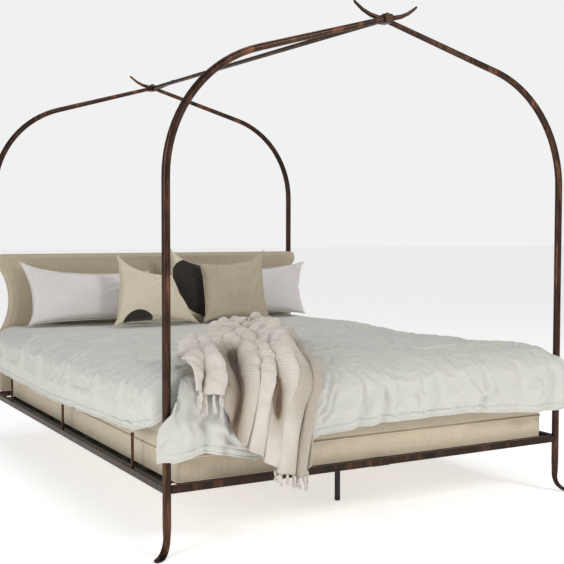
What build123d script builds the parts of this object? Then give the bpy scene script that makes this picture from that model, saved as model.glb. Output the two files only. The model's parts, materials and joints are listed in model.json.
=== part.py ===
"""Four poster canopy bed: forged posts, ogee arches and a ridge bar over an upholstered bed.

Millimetres. +Z is up, the foot of the bed is at -Y, the head at +Y, and X runs across.
The origin is on the floor under the middle of the bed.
"""
import math
import os

from build123d import *

os.makedirs("parts", exist_ok=True)

# ---------------------------------------------------------------- driving dimensions
post_pitch_x = 1614.0        # post axis to post axis, across
post_pitch_y = 2145.0        # post axis to post axis, along
post_diameter = 27.0
post_bore = 22.0
post_top = 1120.0            # where the arch plugs into the post
rail_bottom = 194.0
rail_height = 24.0
rail_width = 20.0
rail_wall = 2.0

arch_spring = 1174.5         # height where the arch starts to bend
arch_radius = 436.0
arch_slope = 16.0            # degrees, the long straight run up to the crossing
crossing_slope = 8.0         # degrees, flattest point of the ogee, at the crossing
tip_slope = 45.0             # degrees, end of the flicked tip
flick_radius = 175.0
arch_end_diameter = 18.0     # tube at the crossing
tip_diameter = 9.0
crossing_offset = 10.0       # each arch passes this far to one side of the end plane
ridge_diameter = 18.0

mattress_width = 1524.0
mattress_length = 2032.0
mattress_foot = -1042.5      # Y of the mattress face at the foot
slat_thickness = 10.0
base_top = 294.0
mattress_top = 500.0
duvet_thickness = 45.0

headboard_top = 883.0
headboard_bottom = 230.0
headboard_half_width = 812.0
headboard_front = 994.0
board_front = 1040.0
board_back = 1057.5

toe_bend = 55.0              # radius of the forged foot
toe_run = 24.0               # straight end of the toe
leg_top = 110.0              # where the forged taper starts

stop_diameter = 10.0
stop_top = 335.0
stop_places = (-775.0, 0.0, 775.0)

leg_places = {"foot_end": -771.0, "middle": 0.0, "head_end": 771.0}
support_diameter = 21.0
support_bottom = 14.3
leveller_stem_radius = 4.0
leveller_clearance = 0.08

# ---------------------------------------------------------------- derived places
half_x = post_pitch_x / 2
half_y = post_pitch_y / 2
post_radius = post_diameter / 2
rail_top = rail_bottom + rail_height
rail_middle = rail_bottom + rail_height / 2
slat_top = rail_top - 4.0
slat_bottom = slat_top - slat_thickness
duvet_top = mattress_top + duvet_thickness
mattress_head = mattress_foot + mattress_length
mattress_middle_y = (mattress_foot + mattress_head) / 2
lean = math.degrees(math.atan(crossing_offset / half_x))

corners = {
    "foot_left": (-1, -1),
    "foot_right": (1, -1),
    "head_left": (-1, 1),
    "head_right": (1, 1),
}


def finish(part, name):
    """Label one piece and write it."""
    part.label = name
    export_step(part, f"parts/{name}.step")


# ---------------------------------------------------------------- posts with forged feet
stub_length = 50.0
stub_gap = 0.25
tilt = 1 / math.sqrt(2)
headboard_bolts_z = (330.0, 857.0)
headboard_bolt_hole = 4.25
bore_bottom = rail_top + 30.0

# (half width, half thickness) of the forged foot along its path, from the leg to the toe
toe_sections = {
    0.0: (13.5, 13.5),
    0.18: (13.2, 12.4),
    0.34: (12.0, 10.4),
    0.50: (12.4, 8.6),
    0.66: (13.6, 7.0),
    0.82: (15.0, 5.9),
    0.93: (14.6, 5.4),
    1.0: (9.0, 4.6),
}

for name, (side, end) in corners.items():
    axis_x = side * half_x
    axis_y = end * half_y
    outward = Vector(side * tilt, end * tilt, 0)
    toe_plane = Plane((axis_x, axis_y, 0), x_dir=outward, z_dir=outward.cross(Vector(0, 0, 1)))
    with BuildLine(toe_plane) as toe_path:
        drop = Line((0, leg_top), (0, toe_bend + 5.0))
        bend = JernArc(drop @ 1, drop % 1, toe_bend, 90)
        Line(bend @ 1, (bend @ 1) + (bend % 1) * toe_run)
    path = toe_path.wire()
    with BuildPart() as foot:
        for place, (half_wide, half_thick) in toe_sections.items():
            across = Vector(0, 0, 1).cross(outward)
            with BuildSketch(Plane(path @ place, x_dir=across, z_dir=path % place)):
                Ellipse(half_wide, half_thick)
        loft()
        split(bisect_by=Plane.XY, keep=Keep.TOP)

    with BuildPart() as post:
        add(foot.part)
        with BuildSketch(Plane((axis_x, axis_y, leg_top))):
            Circle(post_radius)
        extrude(amount=post_top - leg_top)
        # square stubs that the hollow rails slide over
        stub_wide = rail_width - 2 * rail_wall - 2 * stub_gap
        stub_high = rail_height - 2 * rail_wall - 2 * stub_gap
        with BuildSketch(Plane((axis_x, axis_y, rail_middle), x_dir=(0, 1, 0), z_dir=(-side, 0, 0))):
            Rectangle(stub_wide, stub_high)
        extrude(amount=post_radius + stub_length)
        with BuildSketch(Plane((axis_x, axis_y, rail_middle), x_dir=(1, 0, 0), z_dir=(0, -end, 0))):
            Rectangle(stub_wide, stub_high)
        extrude(amount=post_radius + stub_length)
        # bore, down to the solid forged leg
        with BuildSketch(Plane((axis_x, axis_y, post_top))):
            Circle(post_bore / 2)
        extrude(amount=-(post_top - bore_bottom), mode=Mode.SUBTRACT)
        if end > 0:
            for height in headboard_bolts_z:
                with BuildSketch(Plane((axis_x, axis_y + post_diameter, height), z_dir=(0, -1, 0))):
                    Circle(headboard_bolt_hole)
                extrude(amount=2 * post_diameter, mode=Mode.SUBTRACT)
    finish(post.part, f"post_{name}")

# ---------------------------------------------------------------- arches with flicked tips
arch_stations = [index / 36 * 0.99 for index in range(37)] + [0.994, 0.998, 1.0]
tip_round_share = 0.95
spigot_depth = 50.0
spigot_radius = post_bore / 2 - 0.05


def arch_plane(side, end):
    """Upright plane through a post axis and the crossing, with x towards the crossing."""
    turn = math.radians(lean)
    shift = end if side < 0 else -end
    toward = Vector(-side * math.cos(turn), shift * math.sin(turn), 0)
    return Plane((side * half_x, end * half_y, 0), x_dir=toward, z_dir=toward.cross(Vector(0, 0, 1)))


def arch_wire(side, end):
    """Centre line above the straight foot: shoulder, long slope, dip at the crossing, flicked tip."""
    dip_radius = 350.0
    reach = half_x / math.cos(math.radians(lean))
    dip_half = dip_radius * math.sin(math.radians(arch_slope - crossing_slope)) / 2
    shoulder_x = arch_radius * (1 - math.sin(math.radians(arch_slope)))
    run = (reach - dip_half - shoulder_x) / math.cos(math.radians(arch_slope))
    with BuildLine(arch_plane(side, end)) as line:
        shoulder = JernArc((0, arch_spring), (0, 1), arch_radius, arch_slope - 90)
        slope = Line(shoulder @ 1, (shoulder @ 1) + (shoulder % 1) * run)
        dip = JernArc(slope @ 1, slope % 1, dip_radius, crossing_slope - arch_slope)
        JernArc(dip @ 1, dip % 1, flick_radius, tip_slope - crossing_slope)
    return line.wire()


def arch_tube_radius(share):
    """Outer radius at a share of the arch's length: full, then drawn down to the crossing and tip."""
    crossing_share = 0.90
    if share <= crossing_share:
        drawn = share / crossing_share
        return post_radius + (arch_end_diameter / 2 - post_radius) * drawn ** 1.4
    drawn = (share - crossing_share) / (1 - crossing_share)
    drawn_down = arch_end_diameter / 2 + (tip_diameter / 2 - arch_end_diameter / 2) * drawn
    return drawn_down * math.sqrt(1 - 0.85 * max(0.0, drawn - tip_round_share) / (1 - tip_round_share))


def arch_solid(side, end, grow):
    """Tapered round bar along the arch, grown by a clearance."""
    wire = arch_wire(side, end)
    across = arch_plane(side, end).z_dir
    with BuildPart() as bar:
        for share in arch_stations:
            with BuildSketch(Plane(wire @ share, x_dir=across, z_dir=wire % share)):
                Circle(arch_tube_radius(share) + grow)
        loft(ruled=True)
        with BuildSketch(Plane((side * half_x, end * half_y, post_top))):
            Circle(post_radius + grow)
        extrude(amount=arch_spring - post_top)
    return bar.part


crossing_height = 0.0
for name, (side, end) in corners.items():
    wire = arch_wire(side, end)
    with BuildPart() as arch:
        add(arch_solid(side, end, 0.0))
        with BuildSketch(Plane((side * half_x, end * half_y, post_top))):
            Circle(post_bore / 2)
        extrude(amount=spigot_depth, mode=Mode.SUBTRACT)
    finish(arch.part, f"arch_{name}")
    samples = [wire @ (0.8 + 0.2 * step / 200) for step in range(201)]
    nearest = min(samples, key=lambda point: abs(point.X))
    crossing_height = nearest.Z

with BuildPart() as spigots:
    for side, end in corners.values():
        with BuildSketch(Plane((side * half_x, end * half_y, post_top - spigot_depth))):
            Circle(spigot_radius)
            Circle(spigot_radius - 3.0, mode=Mode.SUBTRACT)
        extrude(amount=2 * spigot_depth - 0.5)
finish(spigots.part, "arch_spigots")

# ---------------------------------------------------------------- crossings and ridge bar
knuckle_wide = 34.0
knuckle_deep = 50.0
knuckle_high = 31.0
knuckle_round = 7.0
knuckle_edge = 3.0
arch_clearance = 0.1
relief_radius = ridge_diameter / 2 - 3.9
relief_depth = 3.0
ridge_end = half_y - knuckle_deep / 2
screw_radius = 3.0
screw_head_radius = 6.5
screw_head_height = 5.0
screw_head_round = 2.4
screw_reach = 4.5            # shank length under the head, down to the arch
screw_hole_depth = 7.0

for end_name, end in {"foot": -1, "head": 1}.items():
    centre_y = end * half_y
    with BuildPart() as knuckle:
        with Locations((0, centre_y, crossing_height)):
            Box(knuckle_wide, knuckle_deep, knuckle_high)
        fillet(knuckle.edges().filter_by(Axis.Y), knuckle_round)
        fillet(knuckle.faces().filter_by(Axis.Y).edges(), knuckle_edge)
        add(arch_solid(-1, end, arch_clearance), mode=Mode.SUBTRACT)
        add(arch_solid(1, end, arch_clearance), mode=Mode.SUBTRACT)
        # relief for the end of the ridge bar, in the face towards the bed
        with BuildSketch(Plane((0, centre_y - end * knuckle_deep / 2, crossing_height),
                               x_dir=(1, 0, 0), z_dir=(0, end, 0))):
            Circle(relief_radius)
        extrude(amount=relief_depth, mode=Mode.SUBTRACT)
        # screw holes, one down on to each arch
        for offset in (-crossing_offset, crossing_offset):
            with Locations((0, centre_y + offset, crossing_height + knuckle_high / 2)):
                Cylinder(screw_radius, 2 * screw_hole_depth, mode=Mode.SUBTRACT)
    finish(knuckle.part, f"crossing_knuckle_{end_name}")

with BuildPart() as screws:
    for end in (-1, 1):
        for offset in (-crossing_offset, crossing_offset):
            seat = crossing_height + knuckle_high / 2
            with BuildSketch(Plane((0, end * half_y + offset, seat - screw_reach))):
                Circle(screw_radius)
            extrude(amount=screw_reach)
            with BuildSketch(Plane((0, end * half_y + offset, seat))):
                Circle(screw_head_radius)
            extrude(amount=screw_head_height)
    heads = screws.faces().filter_by(Axis.Z).group_by(Axis.Z)[-1]
    fillet(heads.edges(), screw_head_round)
finish(screws.part, "crossing_screws")

with BuildPart() as ridge:
    with BuildSketch(Plane((0, -ridge_end, crossing_height), z_dir=(0, 1, 0))):
        Circle(ridge_diameter / 2)
    extrude(amount=2 * ridge_end)
    with BuildSketch(Plane((0, -ridge_end, crossing_height), z_dir=(0, 1, 0))):
        Circle(ridge_diameter / 2 - 2.0)
    extrude(amount=2 * ridge_end, mode=Mode.SUBTRACT)
finish(ridge.part, "ridge_bar")

# ---------------------------------------------------------------- rails
rail_gap = 0.3
rail_bolt_radius = 3.0
rail_bolt_reach = 32.0       # bolt axis from the post axis, along the rail
bolt_head_radius = 5.5
bolt_head_height = 3.3


def rail_tube(start, direction, across, length):
    """Hollow rectangular rail, starting at a point and running along a direction."""
    with BuildPart() as rail:
        with BuildSketch(Plane(start, x_dir=across, z_dir=direction)):
            RectangleRounded(rail_width, rail_height, 1.8)
            Rectangle(rail_width - 2 * rail_wall, rail_height - 2 * rail_wall, mode=Mode.SUBTRACT)
        extrude(amount=length)
    return rail.part


def bolt_axis(side, end, along_x):
    """Where one rail bolt enters the inner face of its rail, and which way it points."""
    if along_x:
        place = Vector(side * (half_x - rail_bolt_reach), end * (half_y - rail_width / 2), rail_middle)
        return place, Vector(0, end, 0)
    place = Vector(side * (half_x - rail_width / 2), end * (half_y - rail_bolt_reach), rail_middle)
    return place, Vector(side, 0, 0)


end_rail_length = post_pitch_x - 2 * (post_radius + rail_gap)
side_rail_length = post_pitch_y - 2 * (post_radius + rail_gap)

for name, end in {"foot_rail": -1, "head_rail": 1}.items():
    with BuildPart() as rail:
        add(rail_tube((-end_rail_length / 2, end * half_y, rail_middle),
                      (1, 0, 0), (0, 1, 0), end_rail_length))
        for side in (-1, 1):
            place, inward = bolt_axis(side, end, True)
            with BuildSketch(Plane(place, z_dir=inward)):
                Circle(rail_bolt_radius)
            extrude(amount=rail_wall, mode=Mode.SUBTRACT)
    finish(rail.part, name)

for name, side in {"side_rail_left": -1, "side_rail_right": 1}.items():
    with BuildPart() as rail:
        add(rail_tube((side * half_x, -side_rail_length / 2, rail_middle),
                      (0, 1, 0), (1, 0, 0), side_rail_length))
        for end in (-1, 1):
            place, inward = bolt_axis(side, end, False)
            with BuildSketch(Plane(place, z_dir=inward)):
                Circle(rail_bolt_radius)
            extrude(amount=rail_wall, mode=Mode.SUBTRACT)
    finish(rail.part, name)

with BuildPart() as rail_bolts:
    for side, end in corners.values():
        for along_x in (True, False):
            place, inward = bolt_axis(side, end, along_x)
            with BuildSketch(Plane(place, z_dir=inward)):
                Circle(rail_bolt_radius)
            extrude(amount=rail_wall + stub_gap)
            with BuildSketch(Plane(place, z_dir=-inward)):
                Circle(bolt_head_radius)
            extrude(amount=bolt_head_height)
finish(rail_bolts.part, "rail_bolts")

# ---------------------------------------------------------------- mattress stops on the side rails
stop_cap_radius = 6.5
stop_cap_height = 9.0

for name, side in {"mattress_stops_left": -1, "mattress_stops_right": 1}.items():
    with BuildPart() as stops:
        for place_y in stop_places:
            with BuildSketch(Plane((side * half_x, place_y, rail_top))):
                Circle(stop_diameter / 2)
            extrude(amount=stop_top - rail_top)
            with BuildSketch(Plane((side * half_x, place_y, stop_top - stop_cap_height))):
                Circle(stop_cap_radius)
            extrude(amount=stop_cap_height)
        fillet(stops.faces().filter_by(Axis.Z).group_by(Axis.Z)[-1].edges(), 3.0)
    finish(stops.part, name)

# ---------------------------------------------------------------- slat ledges, beam, slats
ledge_width = 62.0
ledge_thickness = 4.0
ledge_length = side_rail_length - 160.0
beam_width = 40.0
beam_wall = 2.0
beam_height = slat_bottom - 190.0
hanger_wall = 2.5
hanger_plate_height = 26.0
hanger_plate_width = beam_width + 30.0
hanger_shelf_depth = 40.0
beam_bottom = slat_bottom - beam_height
slat_width = 80.0
slat_count = 11
slat_length = 1500.0
slat_margin = 12.0           # first and last slat from the mattress ends
slat_corner = 8.0
slat_edge = 2.5
inner_x = half_x - rail_width / 2
inner_y = half_y - rail_width / 2

for name, side in {"slat_ledge_left": -1, "slat_ledge_right": 1}.items():
    with BuildPart() as ledge:
        with Locations((side * (inner_x - ledge_width / 2), 0, slat_bottom - ledge_thickness / 2)):
            Box(ledge_width, ledge_length, ledge_thickness)
    finish(ledge.part, name)

with BuildPart() as beam:
    beam_length = 2 * (inner_y - hanger_wall - 1.0)
    with BuildSketch(Plane((0, -beam_length / 2, slat_bottom - beam_height / 2),
                           x_dir=(1, 0, 0), z_dir=(0, 1, 0))):
        Rectangle(beam_width, beam_height)
        Rectangle(beam_width - 2 * beam_wall, beam_height - 2 * beam_wall, mode=Mode.SUBTRACT)
    extrude(amount=beam_length)
finish(beam.part, "centre_beam")

for name, end in {"beam_hanger_foot": -1, "beam_hanger_head": 1}.items():
    with BuildPart() as hanger:
        # back plate on the rail, and a shelf under the beam end
        with BuildSketch(Plane((0, end * inner_y, beam_bottom - hanger_wall),
                               x_dir=(end, 0, 0), z_dir=(0, -end, 0))):
            Rectangle(hanger_plate_width, hanger_plate_height, align=(Align.CENTER, Align.MIN))
        extrude(amount=hanger_wall)
        with BuildSketch(Plane((0, end * inner_y, beam_bottom - hanger_wall))):
            Rectangle(beam_width + 4.0, 2 * hanger_shelf_depth)
        extrude(amount=hanger_wall)
        split(bisect_by=Plane((0, end * inner_y, 0), z_dir=(0, -end, 0)), keep=Keep.TOP)
    finish(hanger.part, name)

slat_first = mattress_foot + slat_width / 2 + slat_margin
slat_pitch = (mattress_length - slat_width - 2 * slat_margin) / (slat_count - 1)
for index in range(slat_count):
    with BuildPart() as slat:
        with Locations((0, slat_first + index * slat_pitch, slat_bottom + slat_thickness / 2)):
            Box(slat_length, slat_width, slat_thickness)
        fillet(slat.edges().filter_by(Axis.Z), slat_corner)
        fillet(slat.edges().filter_by(Axis.X), slat_edge)
    finish(slat.part, f"slat_{index + 1:02d}")

# ---------------------------------------------------------------- centre legs and levellers
plate_thickness = 3.0
plate_width = 36.0
plate_length = 60.0
insert_height = 22.0
leg_wall = 2.0

for name, place_y in leg_places.items():
    with BuildPart() as leg:
        with BuildSketch(Plane((0, place_y, support_bottom))):
            Circle(support_diameter / 2)
            Circle(support_diameter / 2 - leg_wall, mode=Mode.SUBTRACT)
        extrude(amount=beam_bottom - plate_thickness - support_bottom)
        with Locations((0, place_y, beam_bottom - plate_thickness / 2)):
            Box(plate_width, plate_length, plate_thickness)
    finish(leg.part, f"centre_leg_{name}")

with BuildPart() as inserts:
    for place_y in leg_places.values():
        with BuildSketch(Plane((0, place_y, support_bottom))):
            Circle(support_diameter / 2 - leg_wall)
            Circle(leveller_stem_radius + leveller_clearance, mode=Mode.SUBTRACT)
        extrude(amount=insert_height)
finish(inserts.part, "leveller_inserts")

pad_radius = 11.0
pad_height = 14.0
stem_length = 46.0
for name, place_y in leg_places.items():
    with BuildPart() as leveller:
        with BuildSketch(Plane((0, place_y, 0))):
            Circle(pad_radius)
        extrude(amount=pad_height)
        fillet(leveller.faces().sort_by(Axis.Z)[0].edges(), 4.0)
        fillet(leveller.faces().sort_by(Axis.Z)[-1].edges(), 1.0)
        with BuildSketch(Plane((0, place_y, pad_height))):
            Circle(leveller_stem_radius)
        extrude(amount=stem_length)
    finish(leveller.part, f"leveller_{name}")

# ---------------------------------------------------------------- base and mattress
mattress_round = 18.0
mattress_edge = 15.0

with BuildPart() as base:
    with Locations((0, mattress_middle_y, (slat_top + base_top) / 2)):
        Box(mattress_width, mattress_length, base_top - slat_top)
    fillet(base.edges().filter_by(Axis.Z), mattress_round)
finish(base.part, "upholstered_base")

with BuildPart() as mattress:
    with Locations((0, mattress_middle_y, (base_top + mattress_top) / 2)):
        Box(mattress_width, mattress_length, mattress_top - base_top)
    fillet(mattress.edges().filter_by(Axis.Z), mattress_round)
    fillet(mattress.faces().sort_by(Axis.Z)[-1].edges(), mattress_edge)
finish(mattress.part, "mattress")

# ---------------------------------------------------------------- headboard
scoop_top = 836.0            # the concave side runs between these heights
scoop_bottom = 500.0
scoop_depth = 56.0
board_inset = 8.0


def headboard_panel(inset, back, front):
    """Panel with square ears and concave sides, between two Y places."""
    half = headboard_half_width - inset
    low = headboard_bottom + inset
    high = headboard_top - inset
    waist = half - scoop_depth
    middle = (scoop_top + scoop_bottom) / 2
    ear_low = scoop_top + inset
    skirt_high = scoop_bottom - inset
    with BuildPart() as panel:
        with BuildSketch(Plane((0, back, 0), x_dir=(1, 0, 0), z_dir=(0, -1, 0))):
            with BuildLine():
                Polyline((-half, skirt_high), (-half, low), (half, low), (half, skirt_high))
                ThreePointArc((half, skirt_high), (waist, middle), (half, ear_low))
                Polyline((half, ear_low), (half, high), (-half, high), (-half, ear_low))
                ThreePointArc((-half, ear_low), (-waist, middle), (-half, skirt_high))
            make_face()
        extrude(amount=back - front)
        fillet(panel.edges().filter_by(Axis.Y).group_by(Axis.Z)[-1], 14.0)
    return panel.part


headboard_seat = half_y - post_radius - 0.3
tee_nut_radius = 5.0
tee_nut_depth = 14.0
bolt_radius = 4.0
bolt_reach = 13.0            # past the post's front, into the board
bolt_cap_radius = 7.0
bolt_cap_height = 4.5
headboard_bolt_places = [(side * half_x, height) for side in (-1, 1) for height in headboard_bolts_z]

finish(headboard_panel(0.0, board_front, headboard_front), "headboard_upholstery")

with BuildPart() as board:
    add(headboard_panel(board_inset, board_back, board_front))
    for place_x, height in headboard_bolt_places:
        with BuildSketch(Plane((place_x, board_back, height), z_dir=(0, -1, 0))):
            Circle(tee_nut_radius)
        extrude(amount=board_back - board_front, mode=Mode.SUBTRACT)
finish(board.part, "headboard_board")

with BuildPart() as back_cloth:
    add(headboard_panel(board_inset + 2.0, headboard_seat, board_back))
    for place_x, height in headboard_bolt_places:
        with BuildSketch(Plane((place_x, headboard_seat, height), z_dir=(0, -1, 0))):
            Circle(tee_nut_radius + 0.5)
        extrude(amount=headboard_seat - board_back, mode=Mode.SUBTRACT)
finish(back_cloth.part, "headboard_back_cloth")

with BuildPart() as tee_nuts:
    for place_x, height in headboard_bolt_places:
        with BuildSketch(Plane((place_x, board_back, height), z_dir=(0, -1, 0))):
            Circle(tee_nut_radius)
            Circle(bolt_radius, mode=Mode.SUBTRACT)
        extrude(amount=tee_nut_depth)
finish(tee_nuts.part, "headboard_tee_nuts")

with BuildPart() as headboard_bolts:
    for place_x, height in headboard_bolt_places:
        with BuildSketch(Plane((place_x, half_y + post_radius, height), z_dir=(0, -1, 0))):
            Circle(bolt_radius)
        extrude(amount=post_diameter + bolt_reach)
        with BuildSketch(Plane((place_x, half_y + post_radius, height), z_dir=(0, 1, 0))):
            Circle(bolt_cap_radius)
        extrude(amount=bolt_cap_height)
finish(headboard_bolts.part, "headboard_bolts")

# ---------------------------------------------------------------- duvet
duvet_half = 838.0
duvet_wall = 23.0
duvet_foot = -1118.0
side_hem = 322.0
foot_hem = 300.0
slot_front = -1092.0         # the slot lets each foot post stand between side and foot drapes
slot_back = -1052.0
slot_inner = 786.0
slot_width = 80.0
duvet_back = 985.0
cut_end = duvet_back + 40.0

with BuildPart() as duvet:
    with Locations((0, (duvet_foot + duvet_back) / 2, (foot_hem + duvet_top) / 2)):
        Box(2 * duvet_half, duvet_back - duvet_foot, duvet_top - foot_hem)
    fillet(duvet.edges().group_by(Axis.Z)[-1].filter_by(Axis.Y), 20.0)
    fillet(duvet.edges().group_by(Axis.Z)[-1].filter_by(Axis.X).sort_by(Axis.Y)[0], 20.0)
    # room for the mattress, the stops and the foot rail
    cavity_front = duvet_foot + duvet_wall
    with Locations((0, (cavity_front + cut_end) / 2, (mattress_top + foot_hem) / 2)):
        Box(2 * (duvet_half - duvet_wall), cut_end - cavity_front,
            mattress_top - foot_hem, mode=Mode.SUBTRACT)
    # shorter hem on the sides
    with Locations((0, (slot_back + cut_end) / 2, (foot_hem + side_hem) / 2)):
        Box(2 * duvet_half, cut_end - slot_back, side_hem - foot_hem, mode=Mode.SUBTRACT)
    for side in (-1, 1):
        with Locations((side * (slot_inner + slot_width / 2), (slot_front + slot_back) / 2,
                        (foot_hem + duvet_top) / 2)):
            Box(slot_width, slot_back - slot_front, duvet_top - foot_hem, mode=Mode.SUBTRACT)
finish(duvet.part, "duvet")

# ---------------------------------------------------------------- pillows and cushions
lean_back = 18.0
rest_height = duvet_top + 0.4


def leaning_pad(centre_x, base_y, width, height, depth, corner):
    """Pad that leans back against what is behind it, with its back lower edge at base_y."""
    turn = math.radians(lean_back)
    face = Plane((centre_x, base_y, rest_height), x_dir=(1, 0, 0),
                 z_dir=(0, -math.cos(turn), math.sin(turn)))
    with BuildPart() as pad_part:
        with BuildSketch(face):
            with Locations((0, height / 2)):
                RectangleRounded(width, height, corner)
        extrude(amount=depth)
        front = pad_part.faces().sort_by(Axis(face.origin, face.z_dir))[-1]
        fillet(front.edges(), depth * 0.3)
    return pad_part.part


layer_gap = 3.0
pillow_depth = 105.0
cushion_depth = 95.0
step_back = math.cos(math.radians(lean_back))
pillow_base = headboard_front - 310.0 * math.sin(math.radians(lean_back)) - 3.0
middle_base = pillow_base - pillow_depth / step_back - layer_gap
front_base = middle_base - cushion_depth / step_back - layer_gap

pads = {
    "pillow_left": (-400.0, pillow_base, 670.0, 310.0, pillow_depth, 40.0),
    "pillow_right": (420.0, pillow_base, 670.0, 310.0, pillow_depth, 40.0),
    "cushion_back": (170.0, middle_base, 400.0, 340.0, cushion_depth, 30.0),
    "cushion_left": (-162.0, front_base, 400.0, 322.0, cushion_depth, 30.0),
    "cushion_right": (252.0, front_base, 370.0, 322.0, cushion_depth, 30.0),
}
for name, sizes in pads.items():
    finish(leaning_pad(*sizes), name)

# ---------------------------------------------------------------- throw blanket
throw_top_left = -520.0
throw_top_right = -90.0
throw_drop_left = -640.0
throw_drop_right = -290.0
throw_back = -250.0
throw_low = 236.0
throw_front = -1136.0
throw_thick = 17.0
throw_heap = 60.0

throw_hang_top = duvet_top + throw_heap / 2

with BuildPart() as throw:
    with Locations(((throw_top_left + throw_top_right) / 2, (throw_front + throw_back) / 2,
                    rest_height + throw_heap / 2)):
        Box(throw_top_right - throw_top_left, throw_back - throw_front, throw_heap)
    with Locations(((throw_drop_left + throw_drop_right) / 2, throw_front + throw_thick / 2,
                    (throw_low + throw_hang_top) / 2)):
        Box(throw_drop_right - throw_drop_left, throw_thick, throw_hang_top - throw_low)
    fillet(throw.edges().filter_by(Axis.X).group_by(Axis.Z)[-1].sort_by(Axis.Y)[0], 30.0)
finish(throw.part, "throw_blanket")
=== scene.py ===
import json
import math

import bpy
import numpy as np
from mathutils import Matrix, Vector


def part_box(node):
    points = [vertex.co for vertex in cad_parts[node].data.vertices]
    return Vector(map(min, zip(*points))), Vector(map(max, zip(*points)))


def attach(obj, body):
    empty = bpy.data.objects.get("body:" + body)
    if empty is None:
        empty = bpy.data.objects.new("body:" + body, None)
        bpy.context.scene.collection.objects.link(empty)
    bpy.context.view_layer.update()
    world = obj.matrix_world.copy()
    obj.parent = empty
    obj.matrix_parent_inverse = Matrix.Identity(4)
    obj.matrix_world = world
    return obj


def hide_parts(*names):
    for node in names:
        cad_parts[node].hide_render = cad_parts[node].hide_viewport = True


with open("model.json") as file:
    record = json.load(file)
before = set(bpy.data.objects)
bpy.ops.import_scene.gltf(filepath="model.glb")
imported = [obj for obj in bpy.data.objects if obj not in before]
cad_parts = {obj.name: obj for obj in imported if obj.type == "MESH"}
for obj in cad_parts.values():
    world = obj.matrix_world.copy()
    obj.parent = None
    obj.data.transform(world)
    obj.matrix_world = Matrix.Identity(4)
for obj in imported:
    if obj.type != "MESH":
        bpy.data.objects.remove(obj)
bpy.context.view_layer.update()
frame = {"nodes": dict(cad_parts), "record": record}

BODY = "bed"
CLOTH_UV = "cloth"


def node_box(name):
    """Lowest and highest corner of a CAD node, as two arrays."""
    low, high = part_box(name)
    return np.array(low), np.array(high)


# ------------------------------------------------------------------ noise and small maths
def lattice(ix, iy, seed):
    value = np.sin(ix * 127.1 + iy * 311.7 + seed * 74.7) * 43758.5453
    return value - np.floor(value)


def ripple(x, y, seed=0):
    """Smooth noise over two coordinates, about -0.7 to 0.7, one bump per unit."""
    x, y = np.broadcast_arrays(np.asarray(x, float), np.asarray(y, float))
    ix, iy = np.floor(x), np.floor(y)
    fx, fy = x - ix, y - iy
    wx = fx * fx * fx * (fx * (fx * 6 - 15) + 10)
    wy = fy * fy * fy * (fy * (fy * 6 - 15) + 10)

    def pull(dx, dy):
        turn = 2 * np.pi * lattice(ix + dx, iy + dy, seed)
        return np.cos(turn) * (fx - dx) + np.sin(turn) * (fy - dy)

    low = pull(0, 0) + wx * (pull(1, 0) - pull(0, 0))
    high = pull(0, 1) + wx * (pull(1, 1) - pull(0, 1))
    return low + wy * (high - low)


def crease(x, y, seed, sharp=6.0):
    """Thin creases: near 1 along wandering lines, near 0 elsewhere."""
    return np.exp(-sharp * sharp * ripple(x, y, seed) ** 2)


def ease(value, low, high):
    """0 below low, 1 above high, smooth between."""
    share = np.clip((np.asarray(value, float) - low) / (high - low), 0, 1)
    return share * share * (3 - 2 * share)


# ------------------------------------------------------------------ mesh helpers
def vertex_of_corners(mesh):
    found = np.zeros(len(mesh.loops), int)
    mesh.loops.foreach_get("vertex_index", found)
    return found


def make_object(name, points, faces, uv=None):
    """Smooth shaded mesh; uv is each point's place on the flat cloth, in metres."""
    mesh = bpy.data.meshes.new(name)
    mesh.from_pydata(np.asarray(points, float).reshape(-1, 3).tolist(), [], faces)
    if uv is not None:
        uv = np.asarray(uv, float).reshape(-1, 2)
        layer = mesh.uv_layers.new(name=CLOTH_UV)
        layer.data.foreach_set("uv", uv[vertex_of_corners(mesh)].ravel())
    mesh.polygons.foreach_set("use_smooth", [True] * len(mesh.polygons))
    mesh.update()
    obj = bpy.data.objects.new(name, mesh)
    bpy.context.scene.collection.objects.link(obj)
    return obj


def grid_faces(rows, columns, around=False):
    """Quads of a grid of points, row by row; around joins the last column to the first."""
    faces = []
    last = columns if around else columns - 1
    for row in range(rows - 1):
        for column in range(last):
            a = row * columns + column
            b = row * columns + (column + 1) % columns
            faces.append((a, b, b + columns, a + columns))
    return faces


def vertices_of(obj):
    points = np.zeros(len(obj.data.vertices) * 3)
    obj.data.vertices.foreach_get("co", points)
    return points.reshape(-1, 3)


def set_vertices(obj, points):
    obj.data.vertices.foreach_set("co", np.asarray(points, float).ravel())
    obj.data.update()


def normals_of(obj):
    normals = np.zeros(len(obj.data.vertices) * 3)
    obj.data.vertices.foreach_get("normal", normals)
    return normals.reshape(-1, 3)


def face_up(obj):
    """Turn a sheet over if it lies face down."""
    if normals_of(obj)[:, 2].mean() < 0:
        obj.data.flip_normals()


def run_along(path):
    """Length of a path up to each of its points."""
    return np.concatenate([[0], np.cumsum(np.linalg.norm(np.diff(path, axis=0), axis=1))])


def weld(obj, distance=0.0002):
    """Merge points that lie on each other, and make the faces look outwards."""
    select_only(obj)
    bpy.ops.object.mode_set(mode="EDIT")
    bpy.ops.mesh.select_all(action="SELECT")
    bpy.ops.mesh.remove_doubles(threshold=distance)
    bpy.ops.mesh.normals_make_consistent(inside=False)
    bpy.ops.object.mode_set(mode="OBJECT")


def select_only(obj):
    bpy.ops.object.select_all(action="DESELECT")
    obj.select_set(True)
    bpy.context.view_layer.objects.active = obj


def apply_modifiers(obj):
    select_only(obj)
    for modifier in list(obj.modifiers):
        bpy.ops.object.modifier_apply(modifier=modifier.name)


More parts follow.
